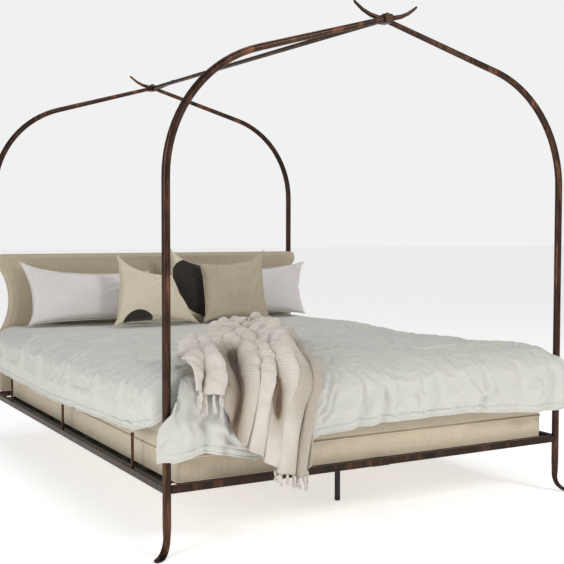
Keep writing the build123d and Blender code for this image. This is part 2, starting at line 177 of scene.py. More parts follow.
def subdivide(obj, levels=1, kind="CATMULL_CLARK"):
    modifier = obj.modifiers.new("smooth", "SUBSURF")
    modifier.subdivision_type = kind
    modifier.levels = levels
    modifier.render_levels = levels
    apply_modifiers(obj)


def thicken(obj, thickness):
    """Turn a one sided sheet into a closed one, going inwards by its thickness."""
    mesh = obj.data
    points = vertices_of(obj)
    count = len(points)
    inner = points - normals_of(obj) * thickness
    faces = [tuple(polygon.vertices) for polygon in mesh.polygons]
    uses = {}
    for face in faces:
        for here, after in zip(face, face[1:] + face[:1]):
            uses[(here, after)] = uses.get((here, after), 0) + 1
    rim = [(a, b) for (a, b) in uses if (b, a) not in uses]
    uv = None
    if mesh.uv_layers:
        corner_uv = np.zeros(len(mesh.loops) * 2)
        mesh.uv_layers[0].data.foreach_get("uv", corner_uv)
        uv = np.zeros((count, 2))
        uv[vertex_of_corners(mesh)] = corner_uv.reshape(-1, 2)
        uv = np.concatenate([uv, uv])
    all_faces = faces + [tuple(v + count for v in reversed(face)) for face in faces]
    all_faces += [(b, a, a + count, b + count) for a, b in rim]
    name = obj.name
    bpy.data.objects.remove(obj)
    bpy.data.meshes.remove(mesh)
    return make_object(name, np.concatenate([points, inner]), all_faces, uv)


def tube(name, path, radius, aside, sides=8, closed=False):
    """Round cord along a path; aside is a direction never along the path."""
    path = np.asarray(path, float)
    if closed:
        along = np.roll(path, -1, 0) - np.roll(path, 1, 0)
    else:
        along = np.gradient(path, axis=0)
    along /= np.linalg.norm(along, axis=1)[:, None]
    first = np.cross(along, np.broadcast_to(aside, path.shape))
    first /= np.linalg.norm(first, axis=1)[:, None]
    second = np.cross(along, first)
    turn = np.linspace(0, 2 * np.pi, sides, endpoint=False)
    size = np.broadcast_to(radius, len(path))[:, None, None]
    ring = np.cos(turn)[None, :, None] * first[:, None] + np.sin(turn)[None, :, None] * second[:, None]
    points = path[:, None] + size * ring
    count = len(path)
    uv = np.stack(np.broadcast_arrays(run_along(path)[:, None], turn[None] * np.mean(radius)), -1)
    faces = grid_faces(count, sides, around=True)
    if closed:
        last = (count - 1) * sides
        faces += [(last + k, last + (k + 1) % sides, (k + 1) % sides, k) for k in range(sides)]
    else:
        faces += [tuple(range(sides - 1, -1, -1)), tuple((count - 1) * sides + k for k in range(sides))]
    return make_object(name, points, faces, uv)


def join(name, parts):
    """One object out of several."""
    bpy.ops.object.select_all(action="DESELECT")
    for part in parts:
        part.select_set(True)
    bpy.context.view_layer.objects.active = parts[0]
    bpy.ops.object.join()
    parts[0].name = name
    parts[0].data.name = name
    return parts[0]


# ------------------------------------------------------------------ materials
class Finish:
    """A material and short calls for its nodes."""

    def __init__(self, name, roughness=0.6, metallic=0.0, sheen=0.0, specular=0.5):
        self.material = bpy.data.materials.new(name)
        self.material.use_nodes = True
        self.tree = self.material.node_tree
        self.shader = self.tree.nodes["Principled BSDF"]
        even = {"Roughness": roughness, "Metallic": metallic, "Sheen Weight": sheen, "Sheen Roughness": 0.5,
                "Specular IOR Level": specular}
        for socket, value in even.items():
            self.shader.inputs[socket].default_value = value

    def add(self, kind, inputs=None, **settings):
        """A node with its settings; an input is another node's output or a plain value."""
        node = self.tree.nodes.new(kind)
        for key, value in settings.items():
            setattr(node, key, value)
        for socket, value in (inputs or {}).items():
            if isinstance(value, bpy.types.NodeSocket):
                self.tree.links.new(value, node.inputs[socket])
            else:
                node.inputs[socket].default_value = value
        return node

    def place(self, scale=(1, 1, 1), cloth=False):
        """Coordinates in metres, scaled; cloth takes the flat cut's own coordinates."""
        if cloth:
            source = self.add("ShaderNodeUVMap", uv_map=CLOTH_UV).outputs[0]
        else:
            source = self.add("ShaderNodeTexCoord").outputs["Object"]
        return self.add("ShaderNodeMapping", {"Vector": source, "Scale": scale}).outputs[0]

    def noise(self, vector, scale, detail=3.0, rough=0.55, distortion=0.0):
        links = {"Vector": vector, "Scale": scale, "Detail": detail, "Roughness": rough}
        links["Distortion"] = distortion
        return self.add("ShaderNodeTexNoise", links).outputs["Fac"]

    def math(self, operation, a, b=0.0):
        return self.add("ShaderNodeMath", {0: a, 1: b}, operation=operation).outputs[0]

    def times(self, a, b):
        return self.math("MULTIPLY", a, b)

    def plus(self, a, b):
        return self.math("ADD", a, b)

    def minus(self, a, b):
        return self.math("SUBTRACT", a, b)

    def ramp(self, value, low, high, to_low=0.0, to_high=1.0):
        return self.add("ShaderNodeMapRange", {"Value": value, "From Min": low, "From Max": high,
                                               "To Min": to_low, "To Max": to_high}).outputs[0]

    def blend(self, share, a, b):
        return self.add("ShaderNodeMix", {0: share, 6: a, 7: b}, data_type="RGBA").outputs[2]

    def split(self, vector):
        return self.add("ShaderNodeSeparateXYZ", {0: vector}).outputs

    def colour(self, socket):
        self.tree.links.new(socket, self.shader.inputs["Base Color"])

    def rough(self, socket):
        self.tree.links.new(socket, self.shader.inputs["Roughness"])

    def bump(self, height, strength, distance):
        """One more layer of relief on top of those already there."""
        links = {"Height": height, "Strength": strength, "Distance": distance}
        for below in self.shader.inputs["Normal"].links:
            links["Normal"] = below.from_socket
        node = self.add("ShaderNodeBump", links)
        self.tree.links.new(node.outputs[0], self.shader.inputs["Normal"])


def rgb(red, green, blue):
    """Colour from 0-255 screen values to the renderer's linear ones."""
    def linear(value):
        value /= 255
        return value / 12.92 if value <= 0.04045 else ((value + 0.055) / 1.055) ** 2.4
    return (linear(red), linear(green), linear(blue), 1.0)


def bronze_finish(name, dark, light, rub):
    """Hand-finished bronze: patches of rubbed copper over brown, dark specks, a hammered surface."""
    f = Finish(name, roughness=0.4, metallic=0.9, specular=0.4)
    here = f.place()
    patch = f.noise(f.place((1, 1, 0.16)), 26, 5, 0.6, 0.4)
    fine = f.noise(here, 240, 4, 0.6)
    brown = f.blend(f.ramp(f.noise(here, 9, 3), 0.35, 0.65), dark, light)
    rubbed = f.blend(f.ramp(patch, 0.52, 0.68, 0.0, rub), brown, rgb(146, 98, 71))
    specks = f.blend(f.ramp(fine, 0.60, 0.72, 0.0, 0.6), rubbed, rgb(34, 25, 21))
    f.colour(specks)
    f.rough(f.ramp(f.plus(patch, fine), 0.7, 1.3, 0.30, 0.52))
    f.bump(f.noise(here, 55, 3), 0.22, 0.004)
    f.bump(fine, 0.12, 0.0015)
    return f.material


def coated_finish(name, colour, roughness, metallic=0.0):
    """Matt powder coat, plastic or blackened steel with a fine orange peel and rub marks."""
    f = Finish(name, roughness=roughness, metallic=metallic)
    here = f.place()
    wear = f.noise(here, 30, 5, 0.65)
    lighter = tuple(min(1.0, part * 2.6 + 0.01) for part in colour[:3]) + (1.0,)
    f.colour(f.blend(f.ramp(wear, 0.55, 0.75, 0.0, 0.6), colour, lighter))
    f.rough(f.ramp(wear, 0.3, 0.7, roughness + 0.12, roughness - 0.08))
    f.bump(f.noise(here, 700, 2), 0.15, 0.0006)
    return f.material


def wood_finish(name, light, dark):
    """Plywood with its grain along X: wide rings, and short dark pores."""
    f = Finish(name, roughness=0.55)
    rings = f.noise(f.place((1.6, 34, 34)), 1.0, 6, 0.6, 0.9)
    pores = f.noise(f.place((54, 204, 204)), 1.0, 3, 0.5)
    wood = f.blend(f.ramp(rings, 0.32, 0.68), light, dark)
    f.colour(f.blend(f.ramp(pores, 0.60, 0.72, 0.0, 0.5), wood, dark))
    f.rough(f.ramp(rings, 0.3, 0.7, 0.48, 0.64))
    f.bump(pores, 0.2, 0.0006)
    return f.material


def woven_finish(name, light, dark, pitch, sheen=0.25, slub=1.0, roughness=0.85, shade=None, weave=0.5):
    """Plain weave: crossing threads at their pitch, slubs, and slow changes of colour."""
    f = Finish(name, roughness=roughness, sheen=sheen, specular=0.25)
    here = f.place(cloth=True)
    wander = f.times(f.noise(here, 35, 2), 3.0)

    def thread(across):
        return f.math("SINE", f.plus(f.times(across, 2 * math.pi / pitch), wander))

    threads = f.math("MAXIMUM", *[thread(f.split(here)[axis]) for axis in (0, 1)])
    slub_scales = ((420, 14, 1), (14, 420, 1))
    slubs = f.math("MAXIMUM", *[f.noise(f.place(scale, cloth=True), 1.0, 3, 0.6) for scale in slub_scales])
    slow = f.noise(here, 5, 3)
    cloth = f.blend(f.ramp(slubs, 0.50, 0.72, 0.0, 0.75 * slub), light, dark)
    cloth = f.blend(f.ramp(slow, 0.35, 0.65, 0.0, 0.22), cloth, dark)
    # painted shade: the cloth is darker in the gaps between the threads, where the relief is low
    cloth = f.blend(f.ramp(threads, 0.2, -1.0, 0.0, 0.35 * weave), cloth, dark)
    if shade:
        cloth = shade(f, cloth)
    f.colour(cloth)
    f.rough(f.ramp(slubs, 0.4, 0.7, roughness + 0.06, roughness - 0.08))
    f.bump(threads, 0.35 * weave, 0.0005)
    f.bump(slubs, 0.25 * slub, 0.0012)
    return f.material


def printed(mask):
    """A print on woven cloth: mask(f, u, v) gives where the dark ink is."""
    def shade(f, cloth):
        here = f.place(cloth=True)
        rough_edge = f.times(f.minus(f.noise(here, 900, 2), 0.5), 0.002)
        u, v = [f.plus(f.split(here)[axis], rough_edge) for axis in (0, 1)]
        ink = f.blend(f.ramp(f.noise(here, 260, 3), 0.4, 0.7), rgb(40, 34, 31), rgb(58, 49, 43))
        return f.blend(mask(f, u, v), cloth, ink)
    return shade


def outline_mask(corners):
    """1 inside a convex outline whose corners go anticlockwise."""
    def mask(f, u, v):
        inside = 1.0
        for (ax, ay), (bx, by) in zip(corners, corners[1:] + corners[:1]):
            across = f.times(f.minus(v, ay), bx - ax)
            along = f.times(f.minus(u, ax), by - ay)
            inside = f.times(inside, f.math("GREATER_THAN", across, along))
        return inside
    return mask


def half_circle(centre_u, base_v, radius):
    """1 inside the upper half of a disc."""
    def mask(f, u, v):
        away = f.plus(f.math("POWER", f.minus(u, centre_u), 2.0), f.math("POWER", f.minus(v, base_v), 2.0))
        disc = f.math("LESS_THAN", away, radius * radius)
        return f.times(disc, f.math("GREATER_THAN", v, base_v))
    return mask


def knit_finish(loop_width=0.008, row_height=0.006):
    """Soft thick knit: rows of plump loops, with painted shade: darker between the loops, and browner where
    the throw's mesh stores painted shade.
    """
    f = Finish("cream_knit", roughness=0.92, sheen=0.5, specular=0.2)
    here = f.place(cloth=True)
    loops = f.times(f.split(here)[0], 2 * math.pi / loop_width)
    lean = f.math("ABSOLUTE", f.math("SINE", loops))
    rows = f.math("SINE", f.plus(f.times(f.split(here)[1], 2 * math.pi / row_height),
                                 f.times(lean, 2.2)))
    plump = f.times(f.plus(rows, 1.0), f.plus(lean, 0.25))
    fuzz = f.noise(here, 900, 3)
    slow = f.noise(here, 9, 3)
    wool = f.blend(f.ramp(slow, 0.35, 0.68), rgb(238, 232, 224), rgb(224, 215, 203))
    # painted shade: the wool is darker between the loops, where the relief is low
    wool = f.blend(f.ramp(plump, 0.5, 0.0, 0.0, 0.30), wool, rgb(180, 160, 134))
    # painted shade: browner where the throw's mesh stores shade for its folds, its dark places and its calm
    # strip
    depth = f.add("ShaderNodeAttribute", attribute_name="throw_painted_shade").outputs["Fac"]
    wool = f.blend(f.ramp(depth, 0.0, 0.5, 0.0, 0.75), wool, rgb(172, 160, 138))
    wool = f.blend(f.ramp(depth, 0.45, 1.0, 0.0, 0.90), wool, rgb(116, 84, 58))
    f.colour(wool)
    f.bump(plump, 0.55, 0.0022)
    f.bump(fuzz, 0.3, 0.0010)
    return f.material


metal = bronze_finish("bronzed_iron", rgb(54, 41, 35), rgb(76, 55, 46), 0.65)
# painted shade: the rails take a darker, less rubbed copy of the same bronze
painted_shade_rail_metal = bronze_finish("bronzed_iron_rails_painted_shade", rgb(46, 38, 33), rgb(60, 47, 39), 0.35)
linen = woven_finish("natural_linen", rgb(218, 204, 180), rgb(186, 170, 144), 0.0016)
# painted shade: the headboard takes a darker copy of the base's natural linen
painted_shade_headboard_linen = woven_finish("headboard_linen_painted_shade", rgb(188, 176, 153), rgb(160, 148, 124), 0.0016)
ticking = woven_finish("mattress_ticking", rgb(212, 199, 176), rgb(186, 172, 148), 0.0012, slub=0.5)
cotton = woven_finish("white_cotton", rgb(209, 209, 202), rgb(197, 194, 188), 0.0007, sheen=0.1, slub=0.35,
                      roughness=0.75, weave=0.25)
pillow_cotton = woven_finish("pillow_cotton", rgb(222, 217, 215), rgb(204, 198, 197), 0.0007, sheen=0.1,
                             slub=0.35, roughness=0.72, weave=0.25)
taupe = woven_finish("taupe_linen", rgb(188, 178, 156), rgb(156, 144, 122), 0.0014)
lining = woven_finish("black_backing_cloth", rgb(34, 33, 32), rgb(20, 20, 20), 0.0010, sheen=0.05)
knit = knit_finish()

NODE_FINISH = {
    "bronzed_iron": metal,
    "black_coated_steel": coated_finish("black_coated_steel", rgb(38, 36, 34), 0.5, 0.2),
    "dark_steel_fixings": coated_finish("dark_steel_fixings", rgb(74, 68, 62), 0.34, 0.9),
    "black_plastic": coated_finish("black_plastic", rgb(30, 30, 30), 0.48),
    "slat_wood": wood_finish("slat_wood", rgb(74, 58, 46), rgb(46, 35, 28)),
    "board_wood": wood_finish("board_wood", rgb(206, 176, 132), rgb(172, 138, 96)),
}
SLOT_OF = {row["node"]: row["material_slot"] for row in frame["record"]["subparts"]}
for name, node in frame["nodes"].items():
    finish = NODE_FINISH.get(SLOT_OF[name])
    # the rails get the darker copy of the bronze, as painted shade
    if finish is metal and "rail" in name:
        finish = painted_shade_rail_metal
    if finish:
        node.data.materials.clear()
        node.data.materials.append(finish)


def piece(obj, material, slot, *stands_for):
    """Give a piece its finish and its body, and hide the nodes it stands for; slot is not used."""
    obj.data.materials.clear()
    obj.data.materials.append(material)
    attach(obj, BODY)
    if stands_for:
        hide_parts(*stands_for)
    return obj


# ------------------------------------------------------------------ cloth simulation
SIM_FRAMES = 12


def inflate(obj, pressure, grow, limit, tension, bending, pins=None):
    """Blow a pad up, or let a sheet crumple, with the Cloth simulation; no point moves past the limit."""
    start = vertices_of(obj)
    cloth = obj.modifiers.new("cloth", "CLOTH")
    settings = cloth.settings
    wanted = dict(quality=6, mass=0.25, tension_stiffness=tension, compression_stiffness=tension,
                  shear_stiffness=3.0, bending_stiffness=bending, shrink_min=-grow,
                  tension_damping=8.0, compression_damping=8.0, shear_damping=8.0, air_damping=2.0,
                  use_pressure=pressure > 0, uniform_pressure_force=pressure)
    for key, value in wanted.items():
        setattr(settings, key, value)
    settings.effector_weights.gravity = 0.0
    if pins is not None:
        group = obj.vertex_groups.new(name="pins")
        pins = np.round(pins, 2)
        for level in np.unique(pins):
            group.add(np.nonzero(pins == level)[0].tolist(), float(level), "REPLACE")
        settings.vertex_group_mass = "pins"
        settings.pin_stiffness = 2.0
    cloth.collision_settings.use_collision = False
    cloth.collision_settings.use_self_collision = False
    cloth.point_cache.frame_start = 1
    cloth.point_cache.frame_end = SIM_FRAMES
    scene = bpy.context.scene
    for step in range(1, SIM_FRAMES + 1):
        scene.frame_set(step)
    apply_modifiers(obj)
    obj.vertex_groups.clear()
    scene.frame_set(1)
    moved = vertices_of(obj) - start
    size = np.linalg.norm(moved, axis=1)
    share = np.minimum(1.0, limit / np.maximum(size, 1e-9))
    set_vertices(obj, start + moved * share[:, None])


# ------------------------------------------------------------------ base and mattress
base_low, base_high = node_box("upholstered_base")
mattress_low, mattress_high = node_box("mattress")
PLAN_ROUND = 0.018             # corner radius in plan
BASE_EDGE = 0.003              # radius of the top and bottom edges
MATTRESS_EDGE = 0.014
SEAM_IN = 0.05                 # the mattress's piping, from its bottom and from its top


def rounded_ring(low, high, radius=PLAN_ROUND, spacing=0.022, corner_steps=7):
    """Points round a rounded rectangle in plan, anticlockwise, and their outward directions."""
    points, outward = [], []
    centres = [(high[0] - radius, low[1] + radius, -90), (high[0] - radius, high[1] - radius, 0),
               (low[0] + radius, high[1] - radius, 90), (low[0] + radius, low[1] + radius, 180)]

    def facing(degrees):
        return np.array((math.cos(math.radians(degrees)), math.sin(math.radians(degrees))))

    for index, (cx, cy, first) in enumerate(centres):
        for step in range(corner_steps + 1):
            way = facing(first + 90 * step / corner_steps)
            points.append((cx, cy) + radius * way)
            outward.append(way)
        next_x, next_y, next_first = centres[(index + 1) % 4]
        start = points[-1]
        stop = (next_x, next_y) + radius * facing(next_first)
        count = int(np.linalg.norm(stop - start) / spacing)
        for step in range(1, count):
            points.append(start + (stop - start) * step / count)
            outward.append(facing(first + 90))
    return np.array(points), np.array(outward)


def soft_block(name, low, high, crown, seams, edge, seed, low_share=1.0, wrinkle=0.0015, rows=22):
    """Upholstered block: crowned sides between seams, softly rounded top and bottom edges."""
    ring, outward = rounded_ring(low, high)
    along = run_along(ring)
    height = high[2] - low[2]
    edge_steps = [edge * share for share in (0.0, 0.12, 0.35, 0.7, 1.0)]
    levels = edge_steps + list(np.linspace(edge * 1.3, height - edge * 1.3, rows))
    levels += [height - step for step in reversed(edge_steps)]
    bands = [0.0] + [seam - low[2] for seam in seams] + [height]
    points, uv = [], []
    for level in levels:
        nearest = min(level, height - level)
        inset = edge - math.sqrt(max(0.0, edge ** 2 - (edge - min(nearest, edge)) ** 2))
        inset *= low_share if level < height / 2 else 1.0
        band = max(0, min(len(bands) - 2, int(np.searchsorted(bands, level)) - 1))
        share = (level - bands[band]) / (bands[band + 1] - bands[band])
        swell = crown * (4 * share * (1 - share)) ** 0.6
        folds = ripple(along * 3.2, level * 26, seed) * 0.7 + ripple(along * 11, level * 60, seed + 1) * 0.3
        offset = swell - inset - crown + wrinkle * folds * math.sin(math.pi * share)
        plan = ring + outward * np.asarray(offset)[:, None]
        points.append(np.column_stack([plan, np.full(len(plan), low[2] + level)]))
        uv.append(np.column_stack([along, np.full(len(plan), level)]))
    middle = (np.array(low[:2]) + np.array(high[:2])) / 2
    bottom, top = points[0][:, :2] - middle, points[-1][:, :2] - middle
    for share in (0.97, 0.9, 0.75, 0.5, 0.2):
        under, over = middle + bottom * share, middle + top * share
        height_over = low[2] + height + 0.004 * (1 - share)
        points = ([np.column_stack([under, np.full(len(ring), low[2])])] + points
                  + [np.column_stack([over, np.full(len(ring), height_over)])])
        uv = [under] + uv + [over]
    count = len(ring)
    faces = grid_faces(len(points), count, around=True)
    top = (len(points) - 1) * count
    faces.append(tuple(reversed(range(count))))
    faces.append(tuple(range(top, top + count)))
    return make_object(name, np.concatenate(points), faces, np.concatenate(uv))


def welt(name, low, high, height, grow, thick, material, slot):
    """Piped seam round a block."""
    ring, outward = rounded_ring(low, high)
    path = np.column_stack([ring + outward * grow, np.full(len(ring), height)])
    piece(tube(name, path, thick, (0, 0, 1), closed=True), material, slot)


base = soft_block("base_cover", base_low, base_high, 0.003, [], BASE_EDGE, 3, wrinkle=0.003)
piece(base, linen, "natural_linen", "upholstered_base")
for name, level, grow, thick in (("base_piping", base_high[2], -0.0010, 0.0044),
                                 ("base_bottom_piping", base_low[2] + BASE_EDGE, -0.004, 0.0032)):
    welt(name, base_low, base_high, level, grow, thick, linen, "natural_linen")

mattress_seams = {"lower": mattress_low[2] + SEAM_IN, "upper": mattress_high[2] - SEAM_IN}
mattress = soft_block("mattress_cover", mattress_low, mattress_high, 0.005, mattress_seams.values(),
                      MATTRESS_EDGE, 8, low_share=0.2, rows=30)
piece(mattress, ticking, "mattress_ticking", "mattress")
for tag, level in mattress_seams.items():
    welt("mattress_piping_" + tag, mattress_low, mattress_high, level, -0.005, 0.0028, ticking,
         "mattress_ticking")


# ------------------------------------------------------------------ headboard
panel_low, panel_high = node_box("headboard_upholstery")
SCOOP_LOW, SCOOP_HIGH, SCOOP_DEPTH = 0.500, 0.836, 0.056      # the concave part of each side
SHOULDER = 0.024               # radius of the corners
EDGE_ROLL = 0.017              # radius of the padded front's edge
SEAM_FROM_EDGE = 0.026
PIPING_STEP = 0.006            # least distance between two points of the piping's path


def panel_half(height):
    """Half width of the headboard at a height, with concave sides and eased shoulders."""
    half = panel_high[0]
    if SCOOP_LOW < height < SCOOP_HIGH:
        chord = (SCOOP_HIGH - SCOOP_LOW) / 2
        radius = (chord ** 2 + SCOOP_DEPTH ** 2) / (2 * SCOOP_DEPTH)
        away = height - (SCOOP_LOW + SCOOP_HIGH) / 2
        half -= math.sqrt(radius ** 2 - away ** 2) - (radius - SCOOP_DEPTH)
    for corner in (panel_high[2] - height, height - panel_low[2]):
        if corner < SHOULDER:
            half -= SHOULDER - math.sqrt(max(0.0, SHOULDER ** 2 - (SHOULDER - corner) ** 2))
    return half


def panel_levels():
    """Heights of the headboard's rows, closer together where its outline turns."""
    ends = [0.0, 0.002, 0.005, 0.009, 0.014, 0.019, SHOULDER]
    levels = [panel_low[2] + step for step in ends]
    levels += list(np.linspace(panel_low[2] + 0.04, SCOOP_LOW - 0.004, 14))
    levels += list(np.linspace(SCOOP_LOW, SCOOP_HIGH, 34))
    levels += [panel_high[2] - step for step in reversed(ends)]
    return np.array(levels)


def panel_grid(levels, half, across):
    """Places across and up that fill the panel's outline, and how far each is from the edge."""
    x = across[None] * half[:, None]
    z = np.broadcast_to(levels[:, None], x.shape)
    return x, z, np.minimum(half[:, None] - np.abs(x), np.minimum(z - levels[0], levels[-1] - z))


def headboard_cover():
    """Padded front that rolls over its edge, boxed sides back to the board."""
    levels = panel_levels()
    across = np.linspace(-1, 1, 121)
    across = np.sign(across) * (1 - (1 - np.abs(across)) ** 1.35)
    x, z, edge = panel_grid(levels, np.array([panel_half(level) for level in levels]), across)
    past = EDGE_ROLL - np.clip(edge, 0, EDGE_ROLL)
    lift = EDGE_ROLL - np.sqrt(np.clip(EDGE_ROLL ** 2 - past ** 2, 0, None))
    groove = 0.0022 * np.exp(-((edge - SEAM_FROM_EDGE) / 0.0032) ** 2)
    plump = 0.004 * ease(edge, 0.02, 0.14)
    wrinkles = 0.0012 * ripple(x * 7, z * 9, 21) + 0.0006 * ripple(x * 22, z * 20, 22)
    y = panel_low[1] + 0.004 + lift + groove - plump + wrinkles
    front = np.stack([x, y, z], -1)
    index = np.arange(x.size).reshape(x.shape)
    previous = np.concatenate([index[0], index[1:, -1], index[-1, -2::-1], index[-2:0:-1, 0]])
    rim = front.reshape(-1, 3)[previous]
    points = [front.reshape(-1, 3)]
    uvs = [np.stack([x, z], -1).reshape(-1, 2)]
    faces = grid_faces(*x.shape)
    for depth, pull in ((0.25, 0.0), (0.55, 0.0005), (0.8, 0.001), (1.0, 0.003)):
        ring = rim.copy()
        ring[:, 1] = rim[:, 1] + (panel_high[1] - rim[:, 1]) * depth
        ring[:, 0] -= np.sign(ring[:, 0]) * pull
        points.append(ring)
        uvs.append(np.column_stack([run_along(rim), ring[:, 1]]))
        here = previous.max() + 1 + np.arange(len(ring))
        sides = (np.roll(previous, -1), previous, here, np.roll(here, -1))
        faces += np.stack(sides, -1).tolist()
        previous = here
    faces.append(previous.tolist())
    return make_object("headboard_cover", np.concatenate(points), faces, np.concatenate(uvs)), rim


headboard, headboard_rim = headboard_cover()
weld(headboard)
piece(headboard, painted_shade_headboard_linen, "natural_linen", "headboard_upholstery")
path = []
for spot in headboard_rim + (0, 0.002, 0):
    if not path or np.linalg.norm(spot - path[-1]) > PIPING_STEP:
        path.append(spot)
headboard_piping = tube("headboard_piping", path, 0.0030, (0, 1, 0), closed=True)
piece(headboard_piping, painted_shade_headboard_linen, "natural_linen")

cloth_low, cloth_high = node_box("headboard_back_cloth")
CLOTH_INSET = 0.013


def backing():
    """Thin backing cloth with small tucks where it is stapled round its edge."""
    levels = np.linspace(cloth_low[2] + 0.002, cloth_high[2] - 0.002, 60)
    within = np.clip(levels, panel_low[2] + 0.012, panel_high[2] - 0.012)
    half = np.array([panel_half(level) - CLOTH_INSET for level in within])
    x, z, edge = panel_grid(levels, half, np.linspace(-1, 1, 101))
    slack = 0.0008 * ripple(x * 9, z * 8, 31) * ease(edge, 0.0, 0.05)
    tucks = 0.0003 * np.sin(2 * np.pi * (x + z) / 0.06) * (1 - ease(edge, 0.0, 0.03))
    y = cloth_high[1] - 0.0005 + slack + tucks
    points = np.stack([x, y, z], -1)
    faces = [tuple(reversed(face)) for face in grid_faces(*x.shape)]
    return thicken(make_object("headboard_backing", points, faces, np.stack([x, z], -1)), 0.0008)


back_cloth = backing()
piece(back_cloth, lining, "black_backing_cloth", "headboard_back_cloth")


# ------------------------------------------------------------------ duvet
duvet_low, duvet_high = node_box("duvet")
TOP_X = mattress_high[0] - 0.030       # where the top turns down into the sides
TOP_Y = mattress_low[1] + 0.030
SHOULDER_DROP = 0.075
SIDE_OUT = duvet_high[0] - TOP_X
FOOT_OUT = TOP_Y - duvet_low[1]
# rows of points above the hem, and how far each stands proud: two sunk lines of stitching
HEM_ROWS = np.array([0.032, 0.029, 0.0265, 0.0245, 0.021, 0.016, 0.011, 0.0085, 0.0062, 0.003, 0.0])
HEM_PROUD = np.array([0.0, -0.0018, -0.0040, -0.0022, -0.0006, 0.0, -0.0008, -0.0030, -0.0014, 0.0, 0.0])
SKIRT_ROWS = 22
CLOTH_THICK = 0.007     # the duvet's and the throw's cloth
TOP_STEP = 0.0125
SPLIT_ANGLE = 62        # degrees round the corner, where the side drape ends and the foot flap starts
SIDE_TURNS, FLAP_TURNS = 7, 5          # steps round the corner, on either side of the split
HEM_PER_DEGREE = 0.0016                # length of hem for each degree round the corner
FLAP_WIDER = 1.12                      # the foot flap's hem against its top


# the tables in the next three functions follow a scratch script's print-out of places marked on the
# photo, and some of their numbers were adjusted by hand
def top_height(x, y):
    """Height of the made-up duvet: soft hollows, a full roll near the foot, lower under the pillows."""
    along = np.interp(y, [-1.05, -0.95, -0.87, -0.7, -0.54, -0.17, 0.16, 0.55, 0.72, 1.0],
                      [0.557, 0.563, 0.566, 0.556, 0.549, 0.543, 0.551, 0.548, 0.543, 0.541])
    free = 1 - ease(y, 0.42, 0.62)
    puffs = 0.015 * ripple(x * 2.1 + 0.4, y * 1.7, 41) + 0.010 * ripple(x * 4.9, y * 4.3, 42)
    warp_x = x + 0.10 * ripple(x * 2.5, y * 2.5, 43)
    warp_y = y + 0.10 * ripple(x * 2.5, y * 2.5, 44)
    long_folds = crease(warp_x * 2.2 + warp_y * 1.1, warp_y * 3.4 - warp_x * 1.2, 45, 9.0)
    short_folds = crease(warp_x * 4.4 - warp_y * 2.4, warp_y * 2.1 + warp_x * 2.0, 46, 9.0)
    small = 0.0016 * ripple(x * 16, y * 13, 47)
    worn = ease(ripple(x * 1.4, y * 1.4, 48), -0.25, 0.25)
    sag = 0.004 * np.cos(x / TOP_X * math.pi / 2)
    return along - sag + free * (puffs - 0.0055 * long_folds * worn - 0.004 * short_folds * worn + small)


def hem_side(y):
    """Height of the duvet's side hem at a place along the bed."""
    return np.interp(y, [-1.06, -1.03, -0.825, -0.407, 0.237, 0.903, 1.0],
                     [0.430, 0.402, 0.352, 0.338, 0.322, 0.336, 0.338])


def hem_foot(x):
    """Height of the foot flap's hem at a place across the bed."""
    return np.interp(x, [-0.88, -0.83, -0.715, -0.559, -0.477, -0.302, -0.205, -0.044, 0.395, 0.736, 0.85],
                     [0.301, 0.294, 0.315, 0.277, 0.283, 0.328, 0.335, 0.349, 0.351, 0.323, 0.325])


def shoulder_path(out, drop):
    """Quarter ellipse then straight down, as a table of run, outwards and down."""
    straight = 0.6
    turn = np.linspace(0, math.pi / 2, 60)
    outwards = out * np.sin(turn)
    down = drop * (1 - np.cos(turn))
    run = np.concatenate([[0], np.cumsum(np.hypot(np.diff(outwards), np.diff(down)))])
    return np.append(run, run[-1] + straight), np.append(outwards, out), np.append(down, drop + straight)


# folds of the hanging sides: place along the hem, depth, half width
FOOT_VALLEYS = [(-0.11, 0.9, 0.010), (-0.02, 0.7, 0.009), (0.408, 0.5, 0.007), (0.683, 0.9, 0.010),
                (-0.66, 0.8, 0.009), (-0.58, 0.6, 0.008), (0.20, 0.4, 0.012), (0.56, 0.4, 0.012),
                (-0.47, 0.5, 0.014)]
SIDE_VALLEYS = [(-0.78, 0.5, 0.012), (-0.52, 0.35, 0.016), (-0.20, 0.45, 0.013), (0.18, 0.35, 0.018),
                (0.46, 0.4, 0.013), (0.74, 0.3, 0.015)]


def drape_folds(place, depth, valleys, seed):
    """Outward swell of a hanging side: soft bulges, and valleys that open towards the hem."""
    grow = ease(depth, 0.02, 0.17)
    swell = 0.009 * ripple(place * 3.0, depth * 2.2, seed) * (0.35 + 0.65 * grow)
    swell = swell + 0.005 * ripple(place * 8.0 + depth * 2, depth * 4.0, seed + 1)
    for centre, deep, width in valleys:
        away = place - (centre + 0.020 * ripple(depth * 6.0, centre * 9, seed + 2))
        wide = width * (0.8 + 1.4 * grow)
        swell = swell - 0.017 * deep * ease(depth, 0.03, 0.12) * np.exp(-(away / wide) ** 2)
        for side in (-1, 1):
            swell = swell + 0.008 * deep * grow * np.exp(-((away - side * 2.4 * wide) / (1.6 * wide)) ** 2)
    return swell


